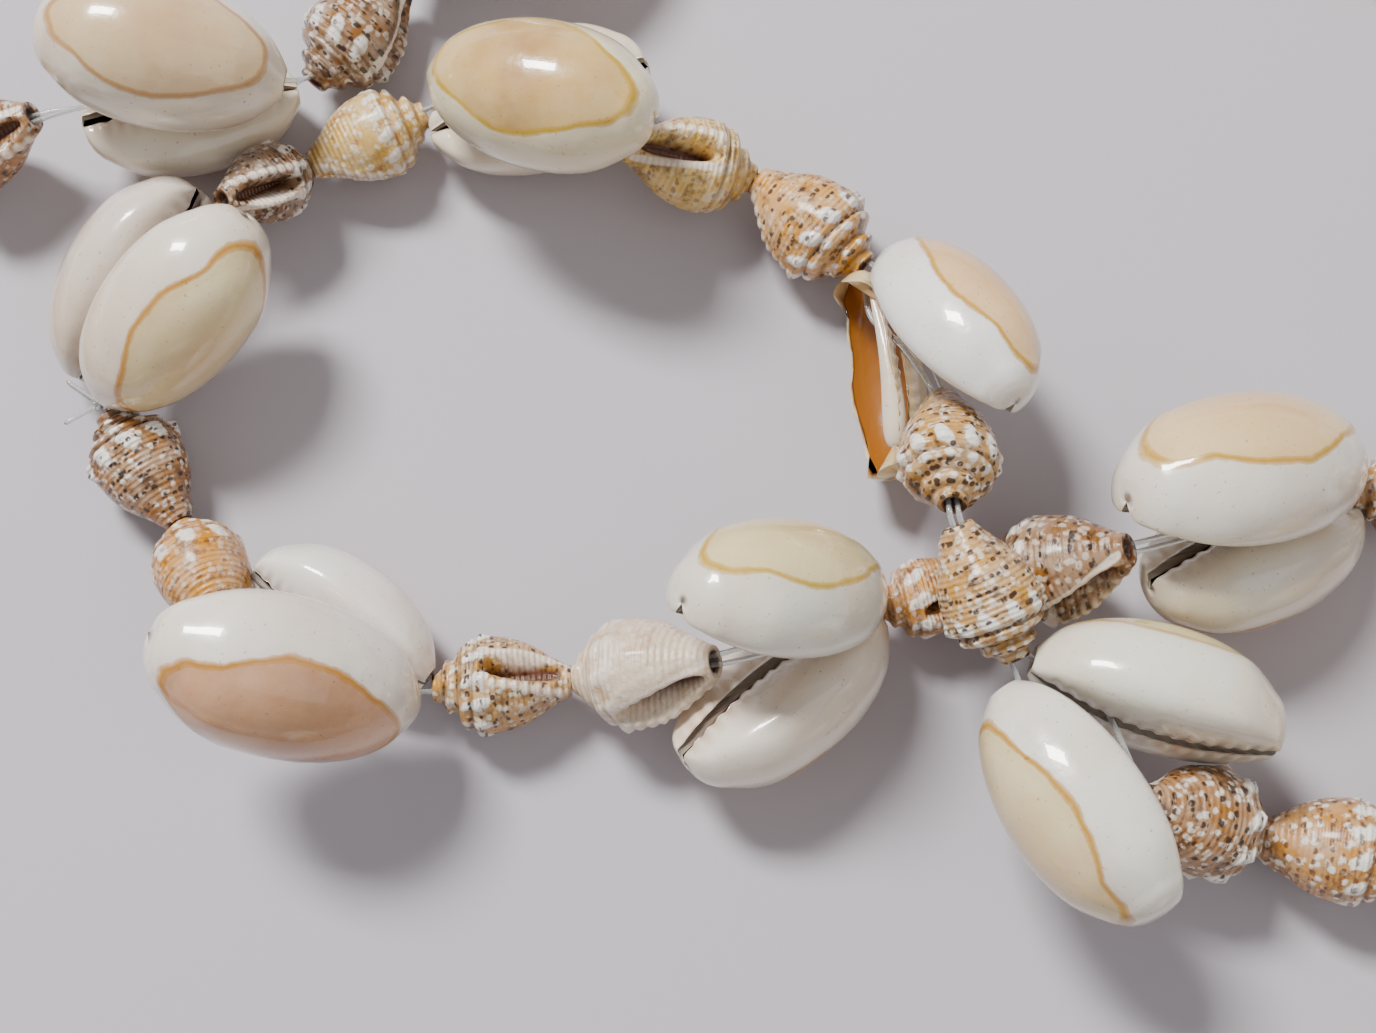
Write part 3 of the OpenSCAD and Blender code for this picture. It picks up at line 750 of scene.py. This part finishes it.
def mouth_form(along, side):
    """Mouth, lip and pillar by the place along a shell and aside from the mouth's middle: the
    mouth is an oval, and its two edges are bell curves along both sides."""
    span = np.sqrt(np.clip(1 - ((along - MOUTH_MIDDLE) / (MOUTH_REACH * 1.15)) ** 2, 0, 1))
    mouth = step(1.12, 0.80, np.hypot((along - MOUTH_MIDDLE) / MOUTH_REACH, side / MOUTH_HALF))
    tooth = 0.75 + 0.25 * np.cos(2 * np.pi * along * DOVE_LENGTH / LIP_TOOTH_PITCH)
    lip = bell(side - MOUTH_HALF - 0.45, 0.45) * step(0.0, 0.5, span) * tooth
    return mouth, lip, bell(side + MOUTH_HALF + 0.15, 0.35) * step(0.0, 0.5, span)


def dove_form(along, turn, style):
    """Radius of a dove shell, and how much of each point is knob, groove, lip and mouth. The
    groove is a helix: the place along the spire over a whorl's pitch, and the turn in whole
    turns, cut to the fraction."""
    out = smooth(DOVE, along) * DOVE_WIDTH / 2
    whorl = (along / WHORL_PITCH + turn / (2 * np.pi)) % 1
    spire = step(0.40, 0.30, along)
    groove = bell(np.minimum(whorl, 1 - whorl), 0.13) * spire
    count = style["knobs"]
    knob = wave(count * turn + 9 * along) ** 2 * (
        bell(along - 0.36, 0.07) + 0.6 * spire * bell(whorl - 0.5, 0.25) * step(0.04, 0.10, along))
    rib = wave(2 * count * turn + 14 * along) * step(0.40, 0.50, along) * style["ribs"]
    cords = wave(2 * np.pi * CORDS * along) * step(0.62, 0.80, along)
    full = 0.10 * bell(along - 0.72, 0.18) + 0.12 * bell(along - 0.08, 0.10) - 0.01
    radius = out * (1 + full - GROOVE_LOW * groove + style["rise"] * knob + RIB_HIGH * rib
                    + CORD_HIGH * cords)
    mouth, lip, pillar_side = mouth_form(along, turn * out)
    radius = radius + LIP_HIGH * lip - PILLAR_LOW * pillar_side
    radius = radius * (1 - mouth) + (HOLE + MOUTH_WALL) * mouth
    return radius, knob, groove, np.clip(lip + pillar_side, 0, 1), mouth


print("hole of a dove shell", 2 * HOLE, "mm, whorls on the spire", round(0.4 / WHORL_PITCH, 1))


# %% [markdown]
# Here the grid runs along the outside and back through the hole for the threads. The columns
# lie closer round the mouth, because its lip and its teeth are the finest parts.

# %% The grid of a dove shell
DOVE_OUT, DOVE_IN, DOVE_AROUND = 72, 4, 58
# How much closer the columns lie at the mouth, the least wall round the hole, and how far the
# patterns are set apart.
MOUTH_CROWDING, LEAST_WALL = 0.45, 0.1
DOVE_SCATTER = np.array([1.3, 2.1, 1.9])
# The shells reach this far past their solids' ends, which the rough rims of the holes take up.
DOVE_REACH = 0.28


def dove_shell(name, start, end, mouth_turn, style, seed):
    """A closed grid: out along the shell and back through its hole, and right round."""
    ahead = (end - start) / np.linalg.norm(end - start)
    start, end = start - DOVE_REACH * ahead, end + DOVE_REACH * ahead
    size = np.linalg.norm(end - start) / DOVE_LENGTH
    along = np.concatenate([np.linspace(0, 1, DOVE_OUT), np.linspace(0.99, 0.01, DOVE_IN)])
    s = np.linspace(-np.pi, np.pi, DOVE_AROUND, endpoint=False)
    turn = s - MOUTH_CROWDING * np.sin(s)
    a, t = np.meshgrid(along, turn, indexing="ij")
    radius, knob, groove, lip, mouth = dove_form(a, t, style)
    bore = np.arange(len(along))[:, None] >= DOVE_OUT
    radius = np.where(bore, HOLE, np.maximum(radius, HOLE + LEAST_WALL))
    polar, azimuth = acosd(ahead[2]), heading(ahead)
    down = np.array([cosd(polar) * cosd(azimuth), cosd(polar) * sind(azimuth), -sind(polar)])
    left = np.array([-sind(azimuth), cosd(azimuth), 0])
    angle = t + math.radians(180 - mouth_turn)
    shape = np.stack([a * DOVE_LENGTH, radius * np.sin(t), radius * np.cos(t)], -1)
    points = start + size * (a[..., None] * DOVE_LENGTH * ahead
                             + (radius * np.cos(angle))[..., None] * down
                             + (radius * np.sin(angle))[..., None] * left)
    quads = grid_faces(len(along), DOVE_AROUND, True, True)
    row, column = quads // DOVE_AROUND, quads % DOVE_AROUND
    column = np.where((column == 0) & (column[:, :1] == DOVE_AROUND - 1), DOVE_AROUND, column)
    uv = np.stack([column / DOVE_AROUND, along[row]], -1).reshape(-1, 2)
    place = shape.reshape(-1, 3) / DOVE_LENGTH + seed * DOVE_SCATTER
    # The mouth and the hole for the threads are marked for a dark tint, which is painted shade.
    return mesh_object(
        name, points.reshape(-1, 3) * MM, quads, uv=uv,
        floats={"knob": knob.ravel(), "groove": groove.ravel(), "lip": lip.ravel(),
                "hollow": np.maximum(mouth, bore).ravel(), "white": style["white"],
                "net": style["net"], "dots": style["dots"]},
        colours={"ground": colour(style["ground"]), "mark": colour(style["mark"]),
                 "place": with_alpha(place)})


print("a dove shell's grid is", DOVE_OUT + DOVE_IN, "by", DOVE_AROUND)

# %% [markdown]
# The dove shells are of a few kinds, bold and knobbed, netted, dotted, smooth or worn. The
# columns are ground, mark, number of knobs, their height, ribs, white knobs, net and dots.

# %% Build the dove shells
COLUMNS = ("ground", "mark", "knobs", "rise", "ribs", "white", "net", "dots")
KINDS = {
    "net": ("#bd8236", "#4e2408", 11, 0.05, 0.5, 1.0, 0.90, 0.80),
    "bold": ("#9c6626", "#241006", 9, 0.14, 0.3, 1.0, 0.75, 1.00),
    "dotted": ("#c28c3c", "#301606", 11, 0.10, 0.6, 1.0, 0.60, 1.00),
    "orange": ("#cf9034", "#3c1c0a", 10, 0.11, 0.5, 1.0, 0.35, 0.95),
    "smooth": ("#deb04a", "#4e2a10", 10, 0.02, 0.3, 0.3, 0.20, 0.60),
    "ribbed": ("#d6aa50", "#94561a", 12, 0.06, 1.0, 0.8, 0.70, 0.15),
    "mottled": ("#86561a", "#2a1604", 10, 0.06, 0.5, 0.8, 0.45, 1.00),
    "ochre": ("#c88420", "#5a2e0a", 9, 0.05, 0.2, 0.9, 0.35, 0.55),
    "worn": ("#dcc6ac", "#bd9876", 10, 0.07, 0.8, 0.5, 0.40, 0.10),
    "brown": ("#9a621a", "#2a1604", 9, 0.10, 0.5, 1.0, 0.50, 0.90),
}
SHOWN_KINDS = [
    "net", "bold", "dotted", "dotted", "orange", "smooth", "ribbed", "mottled", "bold", "ochre",
    "dotted", "worn", "ochre", "mottled", "net",
]
# The photograph shows two more further on, next to the pair in its corner.
LATER_KINDS = {31: "brown", 32: "mottled"}
HIDDEN_KINDS = ["dotted", "ochre", "bold", "net", "ribbed", "mottled", "orange"]


def dove_style(k):
    """The kind of a dove shell by its number along the threads, as values by name."""
    if k < len(SHOWN_KINDS):
        kind = SHOWN_KINDS[k]
    else:
        kind = LATER_KINDS.get(k, HIDDEN_KINDS[k % len(HIDDEN_KINDS)])
    return dict(zip(COLUMNS, KINDS[kind]))


dove_shells = []
for second, word in enumerate(("first", "second")):
    made = []
    for i in range(COUNT):
        k, ends = 2 * i + second, DOVES[i][2 * second:2 * second + 2]
        made.append(dove_shell(
            f"dove_{k:02d}", *ends, PAIRS[i][MOUTH_1 + second], dove_style(k), k))
    dove_shells.append(join("spindles_" + word, made))
print("dove shells", [len(o.data.polygons) for o in dove_shells])

# %% [markdown]
# ## Threads and knot
#
# Each thread follows the holes from pair to pair. Cutting the corners of its route a few times
# rounds them, as stiff nylon does.

# %% Build the threads
SIDES, CUTS = 10, 3
# How far past a hole the thread stays straight, and how high in the slit it enters.
BEND_ROOM, ENTRY_HEIGHT = 0.45 * DOVE_GAP, 1.15 * THREAD


def strand(i, side):
    """The corners of a thread's way through one unit: through both dove shells, out between
    the cowries' free ends, in at the slit, and to the bend before the tip."""
    d, s = DOVES[i], SEATS[i][side]
    first = (d[1] - d[0]) / np.linalg.norm(d[1] - d[0])
    second = (d[3] - d[2]) / np.linalg.norm(d[3] - d[2])
    one = sign_of(side) * STRAND_APART * way(heading(first) + 90)
    two = sign_of(side) * STRAND_APART * way(heading(second) + 90)
    bend = placed(s, [BEND_SHARE * COWRIE_LENGTH, 0, 0])
    out = d[3] + two + BEND_ROOM * second
    entry = placed(s, [ENTRY_SHARE * COWRIE_LENGTH, 0, ENTRY_HEIGHT - BASE_DEPTH - TOUCH_GAP / 2])
    if stacked(i):
        entry = (bend + out) / 2
    return [d[0] + one - BEND_ROOM * first, d[1] + one + BEND_ROOM * first,
            d[2] + two - BEND_ROOM * second, out, entry, bend]


def round_corners(path, cuts):
    """Corner cutting: every side of a closed path keeps its points at a fifth and four fifths."""
    for _ in range(cuts):
        after = np.roll(path, -1, 0)
        path = np.stack([0.8 * path + 0.2 * after, 0.2 * path + 0.8 * after], 1).reshape(-1, 3)
    return path


def nylon_piece(name, path, radii, closed):
    """A round rod along a path, a circle of points carried from each place to the next."""
    points = tube(path, radii, SIDES, closed).reshape(-1, 3) * MM
    return mesh_object(name, points, grid_faces(len(path), SIDES, closed, True))


threads = []
for side, letter in enumerate("ab"):
    path = round_corners(np.array([p for i in range(COUNT) for p in strand(i, side)]), CUTS)
    threads.append(nylon_piece("nylon_" + letter, path, np.full(len(path), THREAD / 2), True))
    length = np.linalg.norm(np.roll(path, -1, 0) - path, axis=1).sum()
    print("thread", letter, "is", round(length), "mm long")

# %% [markdown]
# Tying a knot by hand takes many points. A trefoil is the curve of an overhand knot pulled
# tight, and a short formula gives it. Two short ends stick out, as in the photograph.

# %% Build the knot
# The knot sits where the dove shells of this pair begin. Sizes are in millimetres.
KNOT_PAIR, KNOT, TAIL = 4, 1.2, 2.5
TREFOIL_POINTS, TREFOIL_SIZE, TREFOIL_WIDE, TREFOIL_HIGH = 90, 0.62, 0.19, 0.35
KNOT_RADIUS = 0.19
TAIL_POINTS, TAIL_TURN, TAIL_RISE, TAIL_DROOP = 14, 35, 20, 0.04

tip_a, tip_b = (strand(KNOT_PAIR, side)[0] for side in (0, 1))
back = way(heading(DOVES[KNOT_PAIR][0] - DOVES[KNOT_PAIR][1]))
centre = (tip_a + tip_b) / 2 + KNOT / 2 * back + np.array([0, 0, KNOT / 2 + THREAD])
turns = np.linspace(0, 2 * np.pi, TREFOIL_POINTS, endpoint=False)
# A trefoil goes twice round while it swings three times out and three times up.
wide = TREFOIL_WIDE * (2 + np.cos(3 * turns))
trefoil = centre + TREFOIL_SIZE * np.stack([
    wide * np.cos(2 * turns), wide * np.sin(2 * turns), TREFOIL_HIGH * np.sin(3 * turns)], 1)
loops = [nylon_piece("knot_turns", trefoil, np.full(TREFOIL_POINTS, KNOT_RADIUS), True)]
reach = np.linspace(0.1, KNOT / 2 + TAIL, TAIL_POINTS)[:, None]
blunt = np.sqrt(np.clip(1 - np.linspace(-1, 1, TAIL_POINTS) ** 8, 0.0004, 1))
for turn in (-TAIL_TURN, TAIL_TURN):
    droop = np.array([0, 0, -TAIL_DROOP]) * reach ** 2
    path = centre + reach * way(180 + turn, TAIL_RISE) + droop
    loops.append(nylon_piece("knot_end", path, THREAD / 2 * blunt, False))
knot = join("nylon_knot", loops)
print("knot faces", len(knot.data.polygons))

# %% [markdown]
# ## Looks
#
# Colours could be painted on images. Here they are worked out from the shells' own attributes
# and from noise, so they stay sharp at any size. A small class lets shader maths be written as
# plain sums and products.


# %% A wrapper for shader sockets
def plug(tree, value, socket):
    """Links a value to a socket, or sets the socket if the value is a plain number or colour."""
    if isinstance(value, Value):
        tree.links.new(value.socket, socket)
    else:
        socket.default_value = value


class Value:
    """A socket that adds, subtracts and multiplies: each operator makes one Math node."""

    def __init__(self, tree, socket):
        self.tree, self.socket = tree, socket

    def math(self, operation, *others):
        """One Math node over this value and the others."""
        node = self.tree.nodes.new("ShaderNodeMath")
        node.operation = operation
        for k, value in enumerate((self, *others)):
            plug(self.tree, value, node.inputs[k])
        return Value(self.tree, node.outputs[0])

    def __add__(self, other):
        return self.math("ADD", other)

    def __sub__(self, other):
        return self.math("SUBTRACT", other)

    def __mul__(self, other):
        return self.math("MULTIPLY", other)

    def __rsub__(self, other):
        return (self * -1.0) + other

    __radd__, __rmul__ = __add__, __mul__

    def clip(self):
        """Held between 0 and 1."""
        return self.math("MAXIMUM", 0.0).math("MINIMUM", 1.0)

    def between(self, low, high):
        """0 at low and 1 at high, straight between them and flat beyond."""
        return ((self - low) * (1 / (high - low))).clip()


print("a value can do", [name for name in vars(Value) if not name.startswith("__")])

# %% [markdown]
# A material is a tree of nodes. One method makes any of them, and colours are laid over each
# other in order, as a painter would.

# %% A wrapper for a material
# A Mix node's colour sockets come after those for numbers and vectors.
MIX_AMOUNT, MIX_FIRST, MIX_SECOND, MIX_RESULT = 0, 6, 7, 2


class Paint:
    """A new material's node tree, with one method for any node."""

    def __init__(self, name):
        self.material = bpy.data.materials.new(name)
        self.material.use_nodes = True
        self.tree = self.material.node_tree
        self.shader = self.tree.nodes["Principled BSDF"]

    def node(self, kind, settings=None, output=0, **inputs):
        """Any shader node: settings are its own values, inputs its sockets by name."""
        made = self.tree.nodes.new("ShaderNode" + kind)
        for key, value in (settings or {}).items():
            setattr(made, key, value)
        for key, value in inputs.items():
            plug(self.tree, value, made.inputs[key.replace("_", " ")])
        return Value(self.tree, made.outputs[output])

    def attribute(self, name, output="Fac"):
        """A value that the mesh holds for each of its points."""
        return self.node("Attribute", {"attribute_name": name}, output)

    def noise(self, where, scale, detail=2.0, roughness=0.5):
        """Soft random patches between 0 and 1. The scale is how many fit in one unit."""
        return self.node("TexNoise", None, "Fac", Vector=where, Scale=scale, Detail=detail,
                         Roughness=roughness)

    def mix(self, amount, first, second):
        """First times one less the amount, and second times the amount."""
        made = self.tree.nodes.new("ShaderNodeMix")
        made.data_type = "RGBA"
        plug(self.tree, amount, made.inputs[MIX_AMOUNT])
        plug(self.tree, first, made.inputs[MIX_FIRST])
        plug(self.tree, second, made.inputs[MIX_SECOND])
        return Value(self.tree, made.outputs[MIX_RESULT])

    def cover(self, skin, *coats):
        """The skin under several coats, each an amount and a colour, laid on in order."""
        for amount, over in coats:
            skin = self.mix(amount, skin, over)
        return skin

    def finish(self, bump=None, bump_depth=0.0, **sockets):
        """Sets the shader's sockets and returns the material. bump_depth is in metres."""
        for key, value in sockets.items():
            plug(self.tree, value, self.shader.inputs[key.replace("_", " ")])
        if bump is not None:
            normal = self.node("Bump", None, "Normal", Height=bump, Strength=1.0,
                               Distance=bump_depth)
            plug(self.tree, normal, self.shader.inputs["Normal"])
        return self.material


# %% [markdown]
# Cowries are porcelain-like: a pale side, a warmer back inside a thin golden ring, sometimes a
# brown band across it. The ring is where the attribute rho is one, made uneven with noise.

# %% The cowries' material
# Scales count features along one shell. The depth of the bumps is in metres.
RING_SHARP, RING_SOFT, HALO_WIDE = 24.0, 0.4, 7.0
COWRIE_BUMP, COWRIE_COAT = 0.00006, 0.85

paint = Paint("cowrie_enamel")
place, gold = paint.attribute("place", "Color"), paint.attribute("gold", "Color")
broad, fine = paint.noise(place, 4.0, 3.0), paint.noise(place, 22.0, 4.0, 0.6)
rho = paint.attribute("rho") + (broad - 0.5) * 0.16 + (fine - 0.5) * 0.04
line = (1.0 - (rho - 1.0).math("ABSOLUTE") * RING_SHARP).clip().math("POWER", RING_SOFT)
halo = (1.0 - (rho - 0.95).math("ABSOLUTE") * HALO_WIDE).clip()
within = 1.0 - rho.between(0.97, 1.02)
strength = paint.attribute("ring")
streak = paint.noise(place, 9.0, 5.0, 0.65).between(0.35, 0.65)
heart = (1.0 - rho.between(0.15, 0.95)) * within * (0.35 + broad * 0.5)
band = paint.attribute("band") * within * broad.between(0.3, 0.6) * 0.75
outside = 1.0 - paint.attribute("inside")
warm = paint.noise(place, 2.6, 2.0).between(0.45, 0.7) * outside
pits = paint.noise(place, 60.0, 2.0).between(0.68, 0.74) * outside
skin = paint.cover(
    paint.attribute("ground", "Color"),
    (within, paint.attribute("dorsum", "Color")),
    (within * streak * 0.18, tint("#f3e6cc")),
    (heart * 0.55, tint("#c9904e")),
    (band, tint("#8a5a36")),
    (halo * strength * 0.16, gold),
    (line * strength * (0.8 + 0.4 * fine).clip(), gold),
    (warm * 0.26, tint("#cf9f70")),
    (pits * 0.45, tint("#7a5636")),
    # Painted shade in the gaps between the teeth of the slit.
    (paint.attribute("tooth_gap_shade") * 0.5, tint("#b98f66")))
cowrie_look = paint.finish(
    bump=fine * 0.4 + paint.noise(place, 7.0, 2.0), bump_depth=COWRIE_BUMP,
    Base_Color=skin, Roughness=fine * 0.16 + 0.16, Specular_IOR_Level=0.5,
    Coat_Weight=COWRIE_COAT, Coat_Roughness=0.03)
print(cowrie_look.name, "nodes", len(paint.tree.nodes))

# %% [markdown]
# Dove shells carry a net of triangular spots, rows of dark dots, white knobs and a pale lip.
# Each pattern has its own weight, so the same material serves all kinds.

# %% The dove shells' material
# Rows of dots and fine ribs along a shell's whole length, and the depth of its bumps.
DOT_ROWS, FINE_RIBS, DOVE_BUMP, DOVE_COAT = 11.0, 26.0, 0.00009, 0.3

paint = Paint("dove_shell_enamel")
place, mark = paint.attribute("place", "Color"), paint.attribute("mark", "Color")
spin = paint.node("UVMap", {"uv_map": "spin"})
parts = paint.tree.nodes.new("ShaderNodeSeparateXYZ")
plug(paint.tree, spin, parts.inputs["Vector"])
length = Value(paint.tree, parts.outputs["Y"])
broad, fine = paint.noise(place, 5.0, 3.0), paint.noise(place, 26.0, 4.0, 0.6)
cloud = paint.noise(place, 13.0, 5.0, 0.7)
tent = paint.node("TexVoronoi", {"feature": "F1"}, "Distance", Vector=place, Scale=15.0)
spots = paint.node("TexVoronoi", {"feature": "F1"}, "Distance", Vector=place, Scale=19.0)
patches = 1.0 - (tent + (cloud - 0.5) * 1.3).between(0.24, 0.42)
rows = (length * (2 * math.pi * DOT_ROWS) + broad * 3.0).math("SINE").between(-0.1, 0.5)
dots = (1.0 - spots.between(0.36, 0.50)) * rows * cloud.between(0.30, 0.42)
smear = paint.noise(place, 7.0, 4.0, 0.7).between(0.50, 0.66)
knob = (paint.attribute("knob") * 1.5 + (cloud - 0.5) * 1.2).between(0.30, 0.6)
pale = tint("#f4ebdc")
skin = paint.cover(
    paint.attribute("ground", "Color"),
    (broad.between(0.35, 0.7) * 0.3, pale),
    (smear * 0.68, mark),
    (patches * paint.attribute("net"), pale),
    (knob * paint.attribute("white"), tint("#f6f0e6")),
    (dots * paint.attribute("dots") * 0.92, mark),
    (paint.attribute("groove") * 0.55, mark),
    (paint.attribute("lip").between(0.35, 0.7), tint("#eddccb")),
    # Painted shade in the mouth and in the hole.
    (paint.attribute("hollow").between(0.4, 0.9), tint(SHADED_HOLLOW)))
ribs = (length * (2 * math.pi * FINE_RIBS)).math("SINE") * 0.30
dove_look = paint.finish(
    bump=ribs + fine * 0.8 + patches * 0.4, bump_depth=DOVE_BUMP,
    Base_Color=skin, Roughness=fine * 0.2 + 0.24, Specular_IOR_Level=0.5,
    Coat_Weight=DOVE_COAT, Coat_Roughness=0.15)
print(dove_look.name, "nodes", len(paint.tree.nodes))

# %% [markdown]
# The threads are clear nylon, a little cloudy, and the floor is a plain pale sheet. Every
# piece then takes the place of its solid, so nothing plain is left to see.

# %% Nylon, and which solid each piece replaces
nylon = Paint("clear_nylon").finish(
    Base_Color=tint("#e9ecea"), Roughness=0.12, IOR=1.5, Transmission_Weight=0.75)

for key, shell in cowries.items():
    shell.data.materials.append(cowrie_look)
    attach(shell, "root")
    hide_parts("cowrie_" + key)
for shell, word in zip(dove_shells, ("first", "second")):
    shell.data.materials.append(dove_look)
    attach(shell, "root")
    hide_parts("dove_shells_" + word)
for piece, word in zip([*threads, knot], ("thread_a", "thread_b", "knot")):
    piece.data.materials.append(nylon)
    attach(piece, "root")
    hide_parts(word)
print("pieces", len(cowries) + len(dove_shells) + len(threads) + 1)

# %% [markdown]
# A pale sheet catches the shadows, which show where the shells touch the ground. It is a stage
# and not a part, so it is attached to no body.

# %% The floor
FLOOR_HALF = 12.0
floor_look = Paint("pale_floor").finish(Base_Color=tint("#bdb8c0"), Roughness=0.85)
corners = np.array([[-1, -1, 0], [1, -1, 0], [1, 1, 0], [-1, 1, 0]]) * FLOOR_HALF
floor_mesh = bpy.data.meshes.new("floor")
floor_mesh.from_pydata(corners.tolist(), [], [(0, 1, 2, 3)])
floor = bpy.data.objects.new("floor", floor_mesh)
bpy.context.collection.objects.link(floor)
floor.data.materials.append(floor_look)
print("floor", 2 * FLOOR_HALF, "metres wide")

# %% [markdown]
# ## Light and camera
#
# The photograph was taken by a window at the upper left, from almost straight above.

# %% Lights
# Each light's place and size in metres, its power in watts, and its tint.
LIGHTS = {
    "window": ((-0.30, 0.42, 0.62), (0.24, 0.15), 11.0, (1.0, 0.99, 0.97)),
    "room": ((0.5, -0.3, 0.8), (0.9, 0.9), 2.0, (1.0, 0.95, 0.90)),
}
SKY_TINT, SKY_STRENGTH = (0.80, 0.82, 0.86, 1.0), 0.40


def aim(obj, place, target):
    """Puts an object at a place with its minus Z axis towards a target and its Y axis up. The
    three axes are cross products, so each stands square on the others."""
    back = (np.array(place) - target) / np.linalg.norm(np.array(place) - target)
    right = np.cross([0, 1, 0.001], back)
    right /= np.linalg.norm(right)
    turn = np.stack([right, np.cross(back, right), back], 1)
    matrix = np.eye(4)
    matrix[:3, :3], matrix[:3, 3] = turn, place
    obj.matrix_world = Matrix(matrix.tolist())


for name, (place, size, power, glow) in LIGHTS.items():
    lamp = bpy.data.lights.new(name, "AREA")
    lamp.shape, lamp.size, lamp.size_y = "RECTANGLE", *size
    lamp.energy, lamp.color = power, glow
    light = bpy.data.objects.new(name, lamp)
    bpy.context.collection.objects.link(light)
    aim(light, place, np.zeros(3))
world = bpy.data.worlds.new("sky")
world.use_nodes = True
background = world.node_tree.nodes["Background"].inputs
background["Color"].default_value = SKY_TINT
background["Strength"].default_value = SKY_STRENGTH
bpy.context.scene.world = world
print("lights", list(LIGHTS))

# %% [markdown]
# The camera stands where the photograph was taken. Its lens comes from the picture's width and
# its focal length, both in pixels.

# %% Camera
# The route's table counts from the middle of the photograph, so the camera looks there.
LOOK_AT = np.array([*(-MIDDLE * PITCH * MM), 0.0])
PHOTO_TILT, DISTANCE, FOCAL_PIXELS, PHOTO_WIDTH = 9.6, 0.1527, 2000, 1376
SENSOR_WIDTH, NEAR, FAR_END = 36.0, 0.01, 10.0

camera_data = bpy.data.cameras.new("camera")
camera_data.sensor_width = SENSOR_WIDTH
camera_data.lens = SENSOR_WIDTH * FOCAL_PIXELS / PHOTO_WIDTH
camera_data.clip_start, camera_data.clip_end = NEAR, FAR_END
camera = bpy.data.objects.new("camera", camera_data)
bpy.context.collection.objects.link(camera)
aim(camera, LOOK_AT + DISTANCE * np.array([0, -sind(PHOTO_TILT), cosd(PHOTO_TILT)]), LOOK_AT)
bpy.context.scene.camera = camera
print("camera", np.round(camera.matrix_world.translation, 4), "lens", round(camera_data.lens, 2))

# %% [markdown]
